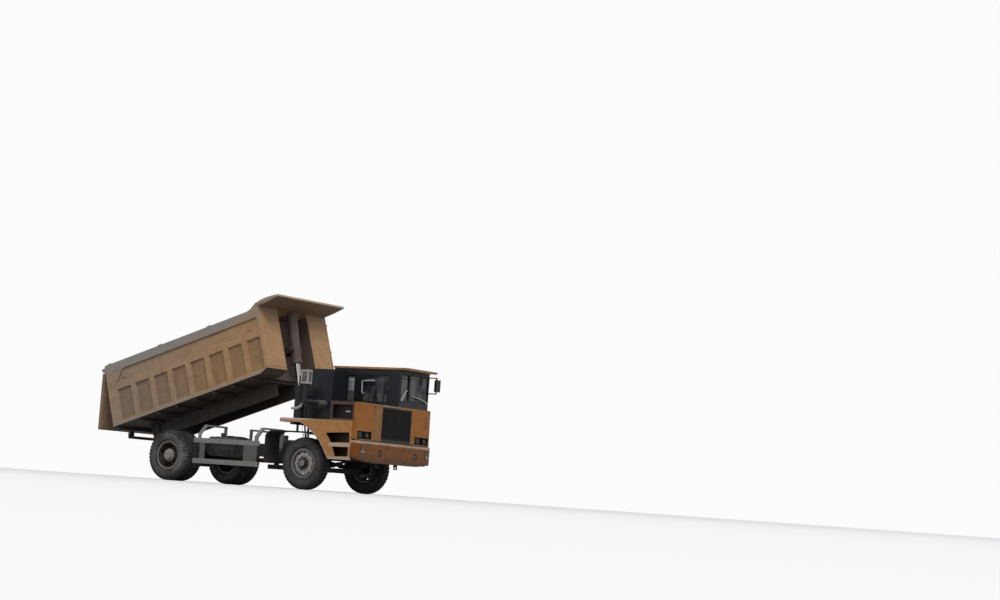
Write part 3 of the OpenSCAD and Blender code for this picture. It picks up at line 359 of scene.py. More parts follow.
def bed_finish(name, colour, dust, share, scar, rail=None):
    """Worn bed paint: long scrapes along the walls, rust under chips, pale dust from the load near the top."""
    f = Finish(name)
    place = f.place()
    up = f.upward()
    along = place.part(0) * cos(BED_TILT) + place.part(2) * sin(BED_TILT)
    square = place.part(2) * cos(BED_TILT) - place.part(0) * sin(BED_TILT)
    local = f.node("ShaderNodeCombineXYZ", {}, {0: along, 1: place.part(1), 2: square})
    pin_along = BED_PIN.x * cos(BED_TILT) + BED_PIN.z * sin(BED_TILT)
    pin_square = BED_PIN.z * cos(BED_TILT) - BED_PIN.x * sin(BED_TILT)
    top = (GATE_PIN - BED_PIN).dot(Vector((-sin(BED_TILT), 0, cos(BED_TILT)))) + pin_square
    ahead, high = along - pin_along, square - pin_square
    cloud = f.noise(local, 0.9, 6, 0.65, 0.6)
    spots = f.noise(local, 5.5, 6, 0.7)
    fine = f.noise(local, 70, 4, 0.7)
    scrape = f.noise(local * (0.7, 4.0, 22.0), 1.2, 5, 0.7, 0.3)
    streak = f.noise(local * (17.0, 17.0, 0.8), 1, 4, 0.6)
    dust_map = cloud * 0.45 + spots * 0.2 + streak * 0.35 + f.step(up, 0.3, 0.9) * 0.3
    dust_map = dust_map + f.step(square, top - 0.45, top + 0.1) * 0.12 + f.step(ahead, 3.6, -0.6) * 0.14
    dust_here = f.step(dust_map, 0.66 - share * 0.5, 1.0 - share * 0.4)
    base = f.mix(f.step(spots, 0.28, 0.75), shaded(colour, 0.72), shaded(colour, 1.16))
    golden = f.step(cloud + f.step(ahead, 0.0, 4.2) * 0.3, 0.5, 0.9)
    base = f.mix(golden * 0.55, base, shaded(colour, 1.25, 1.12, 0.72))
    scar_here = f.step(scrape + cloud * 0.2, 0.68, 0.78)
    chips = f.step(f.noise(local, 16, 7, 0.75), 0.66, 0.72)
    base = f.mix(chips, f.mix(scar_here * 0.75, base, scar), shaded(scar, 0.45))
    here = f.mix(dust_here * 0.85, base, f.mix(fine, shaded(dust, 0.85), dust))
    if rail:
        here = f.touched(here, bed_touch(f, f.aside(place), ahead, high, up, spots, dust, rail))
    rough = 0.55 + dust_here * 0.35 + scar_here * 0.05
    dents = f.noise(local, 1.7, 2, 0.4)
    normal = f.bump(fine * 0.04 + spots * 0.1 + dents * 1.6 - chips * 0.03, 0.02, 0.8)
    f.surface(base_color=here, roughness=rough, normal=normal)


def rim_finish(name, wheel, paint, tones, dust):
    """Rim paint with grime, darker and paler in rings round the axle, its darkest rings painted shade in the rim's well
    and gutter: tones are pairs of a radius and a share of the paint.
    """
    f = Finish(name)
    place = f.place()
    reach = f.reach(place, wheel)
    spots = f.noise(place, 9, 5, 0.68)
    fine = f.noise(place, 110, 3, 0.7)
    widest = 0.4
    stops = [(radius / widest, shaded(paint, tone)) for radius, tone in tones]
    # The darkest tones paint shade into the rim's well and gutter.
    base = f.node("ShaderNodeValToRGB", {}, {0: (reach + spots * 0.016 - 0.008) * (1 / widest)}, 0, stops)
    grime = f.step(spots + f.noise(place, 2.2, 4, 0.6) * 0.4, 0.62, 0.86)
    base = f.mix(grime * 0.6, base, f.mix(0.5, base, dust))
    base = f.mix(f.step(f.noise(place, 24, 6, 0.75), 0.64, 0.7) * 0.6, base, (0.05, 0.028, 0.018))
    f.surface(base_color=base, roughness=0.55 + grime * 0.3, normal=f.bump(fine + spots, 0.001))


def tyre_finish(name, rubber, dust, wheel):
    """Dusty rubber: dry soil on the tread and the shoulders, darker in the sidewall's rings."""
    f = Finish(name)
    place = f.place()
    reach = f.reach(place, wheel)
    cloud = f.noise(place, 2.4, 5, 0.6)
    spots = f.noise(place, 16, 5, 0.7)
    fine = f.noise(place, 160, 3, 0.7)
    rings = f.work("SINE", reach * 820)
    flank = f.step(reach, 0.36, 0.4) - f.step(reach, 0.5, 0.54)
    soil = f.step(cloud * 0.6 + spots * 0.4 + flank * 0.12, 0.40, 0.86)
    base = f.mix(soil * 0.8, rubber, f.mix(fine, shaded(dust, 0.8), dust))
    base = f.mix(f.step(reach, 0.375, 0.345) * 0.8, base, rubber)
    normal = f.bump(fine * 0.3 + spots * 0.8 + rings * flank * 0.35, 0.0016)
    f.surface(base_color=base, roughness=0.82 + soil * 0.12, normal=normal)


def glass_finish(name, tint, dust, share, clear):
    """Glass with a film of dust that runs down in streaks."""
    f = Finish(name)
    place = f.place()
    film = f.noise(place * (9, 9, 1.2), 1.4, 5, 0.65) * 0.6 + f.noise(place, 3.5, 4, 0.6) * 0.5
    film = f.step(film, 0.62 - share * 0.3, 0.95 - share * 0.2)
    here, alpha = f.mix(film, tint, dust), clear + film * (0.94 - clear)
    f.surface(base_color=here, roughness=0.06 + film * 0.5, alpha=alpha, ior=1.5, specular_ior_level=WET_GLOSS)


def lens_finish(name, tint, dust, gloss=WET_GLOSS):
    """Ribbed lamp glass over its bowl."""
    f = Finish(name)
    place = f.place()
    ribs = f.bump(f.work("SINE", place.part(1) * 520), 0.002)
    film = f.step(f.noise(place, 12, 4, 0.6), 0.4, 0.75)
    here = f.mix(film * 0.7, tint, dust)
    f.surface(base_color=here, roughness=0.14 + film * 0.4, specular_ior_level=gloss, normal=ribs)


def chrome_finish(name, colour):
    """Hard chrome with fine drawn lines and a light film of oil and dust."""
    f = Finish(name)
    place = f.place()
    film = f.step(f.noise(place, 7, 5, 0.65), 0.5, 0.8)
    fine = f.noise(place * (1, 1, 30), 14, 3, 0.6)
    soil = tuple(0.2 * v + 0.2 * w for v, w in zip(colour, (1.0, 0.85, 0.7)))
    here, metal = f.mix(film * 0.35, colour, soil), 1 - film * 0.5
    normal = f.bump(fine, 0.0002)
    f.surface(base_color=here, metallic=metal, roughness=0.12 + film * 0.3, specular_ior_level=WET_GLOSS, normal=normal)


def seat_finish(name, colour):
    """Grained vinyl with dust in its folds."""
    f = Finish(name)
    place = f.place()
    cells = f.node("ShaderNodeTexVoronoi", {"feature": "DISTANCE_TO_EDGE"}, {"Vector": place, "Scale": 260})
    film = f.step(f.noise(place, 5, 4, 0.6), 0.5, 0.8)
    here, grain = f.mix(film * 0.3, colour, (0.25, 0.2, 0.16)), f.bump(f.step(cells, 0.0, 0.12), 0.0006)
    f.surface(base_color=here, roughness=0.5 + film * 0.3, normal=grain)


# Shapes


def ring(centre, turn, radius, along, count):
    """Points of a circle round a turned axle, some way along it."""
    angles = [2 * pi * i / count for i in range(count)]
    return [centre + turn @ Vector((radius * cos(a), radius * sin(a), along)) for a in angles]


def box_corners(low, high):
    floor = ((low[0], low[1]), (high[0], low[1]), (high[0], high[1]), (low[0], high[1]))
    return [[Vector((x, y, z)) for x, y in floor] for z in (low[2], high[2])]


def bend_points(corners, radius, steps=6):
    """A path through corners, each rounded to a radius."""
    corners = [Vector(c) for c in corners]
    path = [corners[0]]
    for before, here, after in zip(corners, corners[1:], corners[2:]):
        start = here + (before - here).normalized() * radius
        end = here + (after - here).normalized() * radius
        for i in range(steps + 1):
            t = i / steps
            path.append(start * (1 - t) ** 2 + here * 2 * t * (1 - t) + end * t ** 2)
    return path + [corners[-1]]


class Shape:
    """Solids of one piece, gathered in one mesh."""

    def __init__(self):
        self.mesh = bmesh.new()

    def walls(self, pairs):
        for near, far in pairs:
            for four in zip(near, near[1:] + near[:1], far[1:] + far[:1], far):
                self.mesh.faces.new(four)

    def vertices(self, rings):
        return [[self.mesh.verts.new(p) for p in points] for points in rings]

    def skin(self, rings):
        """A closed skin over rings of points, all with the same count."""
        made = self.vertices(rings)
        self.walls(zip(made, made[1:]))
        self.mesh.faces.new(made[0][::-1])
        self.mesh.faces.new(made[-1])

    def block(self, low, high):
        self.skin(box_corners(low, high))

    def bar(self, x, y, z):
        """A box between limits given from the middle of the rear axle on the floor."""
        self.block(*(at(*corner) for corner in zip(x, y, z)))

    def bed_bar(self, u, y, w):
        """A box that lies along the bed, between limits given from the bed's pin."""
        self.skin([[bed(*corner) for corner in four] for four in box_corners(*zip(u, y, w))])

    def plate(self, outline, thick):
        """A flat outline of points, thickened by a vector."""
        self.skin([outline, [p + Vector(thick) for p in outline]])

    def rod(self, start, end, radius, sides=20, end_radius=None):
        turn = (end - start).to_track_quat("Z", "Y").to_matrix()
        ends = ((start, radius), (end, radius if end_radius is None else end_radius))
        self.skin([ring(centre, turn, r, 0, sides) for centre, r in ends])

    def nut(self, place, along, width, tall, stud=0.0):
        """A hexagon nut or bolt head with a washer, and the end of its stud."""
        along = Vector(along).normalized()
        self.rod(place, place + along * tall * 0.2, width * 0.72, 16)
        self.rod(place + along * tall * 0.2, place + along * tall, width * 0.56, 6, width * 0.52)
        if stud:
            self.rod(place + along * tall, place + along * (tall + stud), width * 0.26, 10)

    def nuts(self, x, y, z, along, width, tall):
        """Nuts in rows, at every meeting of the places given along the truck, across it and up."""
        for place in product(x, y, z):
            self.nut(at(*place), along, width, tall)

    def axle_nuts(self, centre, sign, radius, out, count, width, tall, stud=0.0, start=0.0):
        """Nuts evenly round a wheel's axle, some way out along it."""
        for i in range(count):
            angle = 2 * pi * (i + start) / count
            place = centre + Vector((radius * cos(angle), sign * out, radius * sin(angle)))
            self.nut(place, (0, sign, 0), width, tall, stud)

    def turned(self, centre, along, profile, steps=64):
        """A ring or disc turned about an axle: profile is (radius, distance along) pairs."""
        turn = Vector(along).normalized().to_track_quat("Z", "Y").to_matrix()
        made = self.vertices(ring(centre, turn, r, d, steps) for r, d in profile)
        self.walls(zip(made, made[1:] + made[:1]))

    def collar(self, centre, along, inner, outer, low, high, steps):
        """A plain ring between two radii."""
        self.turned(centre, along, [(inner, low), (outer, low), (outer, high), (inner, high)], steps)

    def tube(self, points, radius, sides=12):
        """A round bar along points."""
        rings, side = [], None
        for i, p in enumerate(points):
            line = (points[min(i + 1, len(points) - 1)] - points[max(i - 1, 0)]).normalized()
            if side is None:
                side = line.orthogonal().normalized()
            side = (side - line * side.dot(line)).normalized()
            over = line.cross(side)
            angles = [2 * pi * k / sides for k in range(sides)]
            rings.append([p + (side * cos(a) + over * sin(a)) * radius for a in angles])
        self.skin(rings)

    def make(self, name, finish, slot, edge=0.0, body="chassis", smooth=35):
        bmesh.ops.recalc_face_normals(self.mesh, faces=self.mesh.faces)
        piece = link(name, self.mesh, finish)
        if edge:
            bevel = piece.modifiers.new("edge", "BEVEL")
            bevel.width, bevel.segments, bevel.limit_method, bevel.angle_limit = edge, 2, "ANGLE", radians(40)
        piece.data.shade_smooth()
        piece.data.set_sharp_from_angle(angle=radians(smooth))
        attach(piece, body)
        return piece


def link(name, mesh, finish=None):
    """Puts a mesh in the scene as an object."""
    data = bpy.data.meshes.new(name)
    mesh.to_mesh(data)
    mesh.free()
    if finish:
        data.materials.append(FINISHES[finish])
    piece = bpy.data.objects.new(name, data)
    bpy.context.scene.collection.objects.link(piece)
    return piece


# What a user can change


def colour_property(words, value):
    values = {"name": words.capitalize(), "description": f"Colour of {words}", "default": value}
    return FloatVectorProperty(subtype="COLOR", size=3, min=0, max=1, **values)


class TruckColours(bpy.types.PropertyGroup):
    orange: colour_property("the cab front", (0.33, 0.115, 0.012))
    bumper: colour_property("the bumper", (0.185, 0.058, 0.005))
    mudguard: colour_property("the mudguards and the roof", (0.42, 0.200, 0.070))
    bed: colour_property("the bed's paint", (0.385, 0.235, 0.136))
    # Painted shade: the underside's colour is near black because it lies in shade.
    bed_under: colour_property("the bed's underside", (0.052, 0.044, 0.043))
    black: colour_property("the upper cab and the tower", (0.010, 0.012, 0.016))
    deck: colour_property("the deck and the locker", (0.075, 0.046, 0.036))
    chassis: colour_property("the chassis", (0.034, 0.033, 0.034))
    guard: colour_property("the guard rails", (0.225, 0.225, 0.223))
    rim: colour_property("the rims", (0.20, 0.19, 0.188))
    rubber: colour_property("the tyres' rubber", (0.020, 0.020, 0.021))
    dust: colour_property("the dust", (0.26, 0.205, 0.155))
    dark_dust: colour_property("the dust on what lies in the shade", (0.085, 0.075, 0.066))
    grey_dust: colour_property("the rock dust on the bed's top rails", (0.27, 0.26, 0.245))
    chrome: colour_property("the chromed rods", (0.86, 0.87, 0.90))


def number(name, description, value, low, high, unit="NONE", kind=FloatProperty):
    values = {} if kind is IntProperty else {"unit": unit}
    return kind(name=name, description=description, default=value, min=low, max=high, **values)


class TruckSizes(bpy.types.PropertyGroup):
    lugs: number("Tread lugs", "Tread lugs on each shoulder of a tyre", 42, 16, 60, kind=IntProperty)
    groove: number("Tread depth", "Depth of the tread between the lugs", 0.016, 0.005, 0.05, "LENGTH")
    nut: number("Wheel nut", "Width over a wheel nut's flats", 0.036, 0.02, 0.05, "LENGTH")
    bolt: number("Body bolt", "Width over a body bolt's flats", 0.028, 0.01, 0.04, "LENGTH")
    weld: number("Weld", "Radius of a weld bead", 0.007, 0.002, 0.02, "LENGTH")
    lens: number("Focal length", "Focal length of the camera in millimetres", 74.2, 20, 200)
    daylight: number("Daylight", "Strength of the soft light from all round", 0.62, 0, 3)
    sun: number("Sun", "Strength of the soft sun", 1.25, 0, 6)


class TruckOperator:
    bl_options = {"REGISTER", "UNDO"}

    @property
    def sizes(self):
        return bpy.context.scene.truck_sizes

    def execute(self, context):
        self.build()
        return {"FINISHED"}


# Camera, light and floor


class TRUCK_OT_camera(TruckOperator, bpy.types.Operator):
    """Place the camera on the floor, where the photograph was taken"""

    bl_idname = "truck.camera"
    bl_label = "Camera"

    def build(self):
        data = bpy.data.cameras.new("camera")
        data.lens, data.sensor_width, data.clip_end = self.sizes.lens, 36, 500
        camera = bpy.data.objects.new("camera", data)
        bpy.context.scene.collection.objects.link(camera)
        place = at(33.831, -39.685, 0.05)
        forward = Vector((-0.53718, 0.83787, 0.09707)).normalized()
        right = Vector((0.84344, 0.53261, 0.0703))
        right = (right - forward * right.dot(forward)).normalized()
        turn = Matrix((right, right.cross(forward), -forward)).transposed()
        camera.matrix_world = Matrix.Translation(place) @ turn.to_4x4()
        bpy.context.scene.camera = camera


class TRUCK_OT_stage(TruckOperator, bpy.types.Operator):
    """Lay the pale floor and light the truck softly"""

    bl_idname = "truck.stage"
    bl_label = "Floor and light"

    def build(self):
        scene = bpy.context.scene
        scene.view_settings.view_transform = "Standard"
        backdrop = {"Color": (0.97, 0.97, 0.97), "Strength": 1.0}
        sky = Finish("daylight", bpy.data.worlds.new("daylight"))
        scene.world = sky.material
        light = sky.node("ShaderNodeBackground", {}, {"Color": (0.93, 0.96, 1.0), "Strength": self.sizes.daylight})
        pale = sky.node("ShaderNodeBackground", {}, backdrop)
        sky.cover(sky.node("ShaderNodeMixShader", {}, {0: sky.seen(), 1: light, 2: pale}))
        for name, strength, spread, direction, tint in (
            ("sun", self.sizes.sun, 24, (-0.62, 0.5, -0.95), (1.0, 0.97, 0.92)),
            ("fill", self.sizes.sun * 0.42, 60, (-0.35, 0.95, -0.22), (0.95, 0.97, 1.0)),
        ):
            light = bpy.data.lights.new(name, "SUN")
            light.energy, light.angle, light.color = strength, radians(spread), tint
            lamp = bpy.data.objects.new(name, light)
            scene.collection.objects.link(lamp)
            lamp.rotation_euler = Vector(direction).to_track_quat("-Z", "Y").to_euler()
        mesh = bmesh.new()
        bmesh.ops.create_circle(mesh, cap_ends=True, radius=220, segments=96)
        floor = link("floor", mesh)
        f = Finish("floor")
        place = f.place()
        far = f.step(f.length(place), 9.0, 60.0)
        pale_ground = f.mix(f.noise(place, 3, 4, 0.6), (0.78, 0.775, 0.765), (0.83, 0.825, 0.815))
        ground = f.node("ShaderNodeBsdfDiffuse", {}, {"Color": pale_ground})
        quarry = f.node("ShaderNodeBsdfDiffuse", {}, {"Color": (0.20, 0.195, 0.19)})
        glow = f.node("ShaderNodeEmission", {}, backdrop)
        seen = f.seen()
        near = f.node("ShaderNodeMixShader", {}, {0: seen, 1: quarry, 2: ground})
        f.cover(f.node("ShaderNodeMixShader", {}, {0: seen * far, 1: near, 2: glow}))
        floor.data.materials.append(f.material)


# Finishes of the solids

SOLIDS = {
    "bumper": "front_bumper",
    "panel": "front_panel",
    "mudguard": "right_fender left_fender",
    "roof": "cab_roof",
    "black": "cab_shell cab_door air_tower rear_mirror",
    "dark": "grille",
    "deck": "deck side_locker",
    "chassis": "chassis_frame deck_frame wheel_guards front_axle rear_axle leaf_springs knuckle_left knuckle_right "
               "prop_shaft radiator",
    "iron": "engine_block",
    "tank": "fuel_tank hydraulic_tank",
    "guard": "side_guards",
    "intake": "air_cleaner",
    "glass": "cab_glass door_glass",
    "plastic": "dashboard lamps",
    "seat": "driver_seat",
    "bed": "bed_shell",
    "gate": "tailgate",
    "bed_under": "bed_frame",
    "hoist": "hoist_barrel",
    "oiled_chrome": "hoist_sleeve_1 hoist_sleeve_2",
    "chrome": "hoist_rod",
    "front_tyre": "front_tyre_left front_tyre_right",
    "rear_tyre": "rear_tyres_left rear_tyres_right",
}
# Radii in metres and shares of the rim's paint, from the hub out: cap, well darkened as painted shade, disc, gutter
# darkened as painted shade, flange
FRONT_TONES = ((0.0, 1.05), (0.042, 1.05), (0.054, 0.12), (0.146, 0.10), (0.162, 1.65), (0.262, 1.7), (0.285, 0.5),
               (0.318, 0.5), (0.332, 1.3), (0.36, 1.3))
REAR_TONES = ((0.0, 1.35), (0.146, 1.15), (0.160, 0.10), (0.240, 0.07), (0.318, 0.12), (0.330, 2.2), (0.36, 2.2))


class TRUCK_OT_finishes(TruckOperator, bpy.types.Operator):
    """Mix the finishes and give each solid its own"""

    bl_idname = "truck.finishes"
    bl_label = "Finishes"

    def build(self):
        c = {key: tuple(getattr(bpy.context.scene.truck_colours, key)) for key in TruckColours.__annotations__}
        dust, shade, rubbed, rust = c["dust"], c["dark_dust"], (0.40, 0.29, 0.20), (0.06, 0.032, 0.018)
        golden = (0.30, 0.19, 0.10)
        dusty("orange", c["orange"], golden, 0.08, 0.42, wear=0.25, worn=rust, rubbed=rubbed)
        dusty("bumper", c["bumper"], dust, 0.02, wear=0.4, worn=(0.05, 0.03, 0.02), touch=bumper_touch)
        dusty("panel", c["orange"], golden, 0.04, 0.42, wear=0.2, worn=rust, rubbed=rubbed, touch=panel_touch)
        dusty("mudguard", c["mudguard"], dust, 0.26, 0.46, wear=0.25, worn=(0.09, 0.05, 0.03), rubbed=rubbed,
              touch=mudguard_touch)
        dusty("rubbed", (0.46, 0.35, 0.26), dust, 0.3, 0.5, wear=0.3)
        dusty("roof", shaded(c["mudguard"], 0.9), (0.46, 0.36, 0.24), 0.6, 0.5, wear=0.2)
        dusty("black", c["black"], shade, 0.08, 0.36, rubbed=(0.05, 0.054, 0.060))
        dusty("dark", (0.0075, 0.008, 0.010), shade, 0.04, 0.6)
        dusty("deck", c["deck"], shade, 0.30, 0.6, wear=0.3, rubbed=(0.14, 0.10, 0.075), touch=deck_touch)
        dusty("chassis", c["chassis"], shade, 0.24, 0.6, wear=0.4, worn=(0.04, 0.022, 0.014))
        dusty("iron", (0.05, 0.049, 0.048), shade, 0.4, 0.6, metal=0.6)
        dusty("tank", (0.038, 0.038, 0.041), shade, 0.3, 0.4)
        dusty("guard", c["guard"], (0.22, 0.21, 0.195), 0.30, 0.5, wear=0.45, worn=(0.06, 0.038, 0.026),
              rubbed=(0.30, 0.295, 0.285), touch=guard_touch)
        dusty("intake", (0.44, 0.42, 0.42), dust, 0.1, 0.5, touch=intake_touch)
        dusty("louvre", (0.45, 0.50, 0.51), shade, 0.05, 0.5)
        dusty("pale_steel", (0.5, 0.49, 0.47), dust, 0.2, 0.4, metal=0.3)
        dusty("zinc", (0.26, 0.255, 0.25), shade, 0.35, 0.38, metal=0.9)
        dusty("rubber_trim", (0.012, 0.012, 0.013), shade, 0.3, 0.7)
        dusty("plastic", (0.015, 0.015, 0.016), shade, 0.3, 0.6)
        dusty("hoist", (0.105, 0.080, 0.072), dust, 0.12, 0.5, wear=0.3)
        haze = shaded(blended(dust, c["grey_dust"], 0.3), 1.12)
        bed_finish("bed", c["bed"], haze, 0.42, (0.17, 0.088, 0.045), c["grey_dust"])
        bed_finish("gate", shaded(c["bed"], 0.62), shaded(haze, 0.75), 0.36, (0.06, 0.038, 0.026))
        # Painted shade: the bed's frame takes the near-black underside colour.
        bed_finish("bed_under", c["bed_under"], shade, 0.16, (0.02, 0.014, 0.010))
        for side in ("right", "left"):
            for node, tones in ((f"front_rim_{side}", FRONT_TONES), (f"rear_rims_{side}", REAR_TONES)):
                rim_finish(node, middle(node), c["rim"], tones, dust)
                dress(node, node)
        tyre_finish("front_tyre", c["rubber"], (0.125, 0.123, 0.127), middle("front_tyre_right"))
        tyre_finish("rear_tyre", c["rubber"], (0.24, 0.238, 0.237), middle("rear_tyres_right"))
        glass_finish("glass", (0.02, 0.024, 0.026), (0.19, 0.20, 0.205), 0.48, 0.56)
        lens_finish("lens", (0.014, 0.013, 0.011), (0.03, 0.025, 0.020), 0.2)
        lens_finish("white_lens", (0.22, 0.19, 0.165), (0.17, 0.14, 0.115))
        lens_finish("amber", (0.085, 0.020, 0.010), (0.10, 0.06, 0.04))
        lens_finish("red", (0.22, 0.015, 0.012), (0.15, 0.12, 0.10))
        chrome_finish("chrome", c["chrome"])
        # Painted reflection: chrome darkened to stand in for dark surroundings in its reflection, under a film of oil.
        chrome_finish("oiled_chrome", (0.30, 0.295, 0.29))
        chrome_finish("bowl", (0.09, 0.092, 0.095))
        chrome_finish("mirror", (0.8, 0.82, 0.84))
        seat_finish("seat", (0.02, 0.02, 0.022))
        for finish, nodes in SOLIDS.items():
            for node in nodes.split():
                dress(node, finish)


def dress(node, finish):
    """Gives a solid its finish."""
    for place in frame["nodes"][node].material_slots:
        place.material = FINISHES[finish]


# Wheels

# Half of a tyre's section, from its bead to the tread: radius and distance from the tyre's middle
FLANK = [(0.3056, 0.0985), (0.3456, 0.1035), (0.3490, 0.1180), (0.3600, 0.1300), (0.3750, 0.1385), (0.3950, 0.1460),
         (0.4000, 0.1500), (0.4080, 0.1505), (0.4120, 0.1490), (0.4450, TYRE_HALF), (0.4850, 0.1560),
         (0.4900, TYRE_HALF - 0.001), (0.5000, TYRE_HALF - 0.001), (0.5050, 0.1535), (0.5350, 0.1470),
         (0.5600, 0.1380), (0.5760, 0.1260)]
# Stations of a lug across the tread: distance from the middle, drop below the tyre's radius, half width, root's depth
LUG = ((0.006, 0.0, 0.030, -0.004), (0.055, 0.0, 0.032, -0.004), (0.098, 0.002, 0.034, -0.006),
       (0.120, 0.012, 0.034, -0.014), (0.136, 0.033, 0.033, -0.028), (0.144, 0.062, 0.030, None))
LUG_END_ROOT = 0.075
LUG_SWING = (0.030, 0.012, 0.0, 0.0, 0.0, 0.0)


def tyre_shape(shape, centre, sign, sizes):
    """A tyre with ringed flanks and staggered lugs over its shoulders."""
    r = TYRE_RADIUS
    floor = r - sizes.groove
    flank = [*FLANK, (floor - 0.002, 0.1080), (floor, 0.0600), (floor + 0.001, 0.0)]
    shape.turned(centre, (0, sign, 0), flank + [(a, -d) for a, d in flank[-2::-1]], 96)
    for side in (-1, 1):
        for i in range(sizes.lugs):
            start = 2 * pi * (i + (0.5 if side > 0 else 0.0)) / sizes.lugs
            rings = []
            for (across, drop, wide, depth), swing in zip(LUG, LUG_SWING):
                root = r - LUG_END_ROOT if depth is None else floor + depth
                four = ((root, -wide), (r - drop, -wide * 0.86), (r - drop, wide * 0.86), (root, wide))
                turns = [(far, start + side * sign * swing + edge / r) for far, edge in four]
                rings.append([centre + Vector((far * cos(a), side * across, far * sin(a))) for far, a in turns])
            shape.skin(rings)


class TRUCK_OT_tyres(TruckOperator, bpy.types.Operator):
    """Mould the lugged tyres in place of the plain ones"""

    bl_idname = "truck.tyres"
    bl_label = "Tyres"

    def build(self):
        for sign, side in SIDES[::-1]:
            for node, finish, body in (
                (f"front_tyre_{side}", "front_tyre", f"wheel_front_{side}"),
                (f"rear_tyres_{side}", "rear_tyre", f"wheels_rear_{side}"),
            ):
                shape, wheel, (low, high) = Shape(), middle(node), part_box(node)
                for y in (low.y + TYRE_HALF, high.y - TYRE_HALF) if "rear" in node else (wheel.y,):
                    tyre_shape(shape, Vector((wheel.x, y, wheel.z)), sign, self.sizes)
                piece = shape.make(f"lugged_{node}", finish, "tyre_rubber", body=body, smooth=42)
                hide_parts(node)


class TRUCK_OT_wheel_trim(TruckOperator, bpy.types.Operator):
    """Fit nuts, studs, hub caps and valves to the wheels"""

    bl_idname = "truck.wheel_trim"
    bl_label = "Wheel nuts and hubs"

    def build(self):
        lock_ring = [(0.3395, 0.1165), (0.3455, 0.1175), (0.3455, 0.1225), (0.3385, 0.1235), (0.333, 0.1195)]
        hub_cap = [(0.072, 0.166), (0.072, 0.172), (0.062, 0.176), (0.040, 0.177), (0.036, 0.168)]
        valve = ((0.232, 0.098), (0.262, 0.118), (0.278, 0.118))
        for sign, word in SIDES:
            out = Vector((0, sign, 0))
            wheel = middle(f"front_tyre_{word}")
            shape = Shape()
            shape.axle_nuts(wheel, sign, 0.165, 0.094, 10, self.sizes.nut, 0.030, 0.016)
            shape.axle_nuts(wheel, sign, 0.052, 0.1675, 8, 0.016, 0.009, start=0.5)
            shape.turned(wheel, out, hub_cap, 40)
            shape.tube(bend_points([wheel + Vector((x, sign * y, 0)) for x, y in valve], 0.01, 4), 0.005, 8)
            shape.turned(wheel, out, lock_ring, 72)
            shape.make(f"front_wheel_trim_{word}", "zinc", "rim_grey", 0.0012, f"wheel_front_{word}")
            low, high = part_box(f"rear_tyres_{word}")
            pair = (low + high) / 2
            shape = Shape()
            shape.axle_nuts(pair, sign, 0.185, 0.016, 10, self.sizes.nut, 0.036, 0.014)
            shape.axle_nuts(pair, sign, 0.136, 0.2395, 12, 0.022, 0.014, start=0.5)
            shape.axle_nuts(pair, sign, 0.045, 0.317, 3, 0.018, 0.009, start=0.25)
            shape.turned(pair + out * ((high.y - low.y) / 2 - TYRE_HALF), out, lock_ring, 72)
            shape.make(f"rear_wheel_trim_{word}", "zinc", "rim_grey", 0.0012, f"wheels_rear_{word}")


# Bed, tailgate and hoist


class TRUCK_OT_bed_trim(TruckOperator, bpy.types.Operator):
    """Run weld beads along the bed's panels and rails and add its small plates"""

    bl_idname = "truck.bed_trim"
    bl_label = "Bed welds and plates"

    def build(self):
        panels, first_panel, panel_pitch, panel_width = 8, -0.27, 0.6, 0.44
        for sign, word in SIDES:
            shape = Shape()
            y = sign * (BED_SIDE - 0.04)
            seams = []
            for i in range(panels):
                u = first_panel + panel_pitch * i
                right = min(u + panel_width, BED_FRONT)
                corners = [(u, 0.57), (right, 0.57), (right, 1.35), (u, 1.35)]
                seams += zip(corners, corners[1:] + corners[:1])
            band = ((-0.29, 1.52), (BED_FRONT, 1.52), (-0.01, 1.835), (BED_FRONT, 1.835))
            for start, end in (*seams, band[:2], band[2:], (band[0], band[2])):
                shape.rod(bed(start[0], y, start[1]), bed(end[0], y, end[1]), self.sizes.weld, 8)
            shape.make(f"bed_side_welds_{word}", "bed", "bed_paint", body="bed")
            shape = Shape()
            for u in (-0.45, 1.25, 2.85):
                shape.bed_bar((u - 0.06, u + 0.06), mirrored(sign, BED_SIDE - 0.055, BED_SIDE - 0.02), (2.05, 2.078))
            for u in (-0.02, 4.05):
                shape.bed_bar((u - 0.05, u + 0.05), mirrored(sign, BED_SIDE - 0.04, BED_SIDE - 0.012), (1.60, 1.76))
            shape.make(f"bed_side_plates_{word}", "bed", "bed_paint", 0.004, "bed")
        welds, lip, hooks = Shape(), Shape(), Shape()
        for sign, _ in SIDES:
            for w in (0.62, 2.0):
                welds.rod(bed(4.403, sign * 0.57, w), bed(4.403, sign * 1.32, w), self.sizes.weld, 8)
            for y in (0.585, 1.33):
                welds.rod(bed(4.402, sign * y, 0.60), bed(4.402, sign * y, 2.06), self.sizes.weld, 8)
        welds.make("bed_front_welds", "bed", "bed_paint", body="bed")
        lip.bed_bar((5.046, 5.053), (-1.318, 1.318), (2.152, 2.203))
        edge = ((4.55, 2.205), (4.68, 2.212), (4.88, 2.203), (5.05, 2.182))
        for sign, _ in SIDES:
            y0, y1 = mirrored(sign, 1.316, 1.324)
            for (u, w), (p, q) in zip(edge, edge[1:]):
                outline = [bed(u, y0, w - 0.002), bed(p, y0, q - 0.002), bed(p, y0, q - 0.03), bed(u, y0, w - 0.03)]
                lip.plate(outline, (0, y1 - y0, 0))
        lip.make("canopy_lip", "rubbed", "bed_paint", 0.002, "bed")
        for w in (1.215, 1.915):
            hooks.bed_bar((4.350, 4.405), (1.358, 1.400), (w - 0.012, w))
            hooks.bed_bar((4.350, 4.405), (1.358, 1.366), (w - 0.050, w))
            hooks.bed_bar((4.350, 4.405), (1.392, 1.400), (w - 0.012, w + 0.022))
        hooks.make("bed_hooks", "pale_steel", "bed_paint", 0.002, "bed")


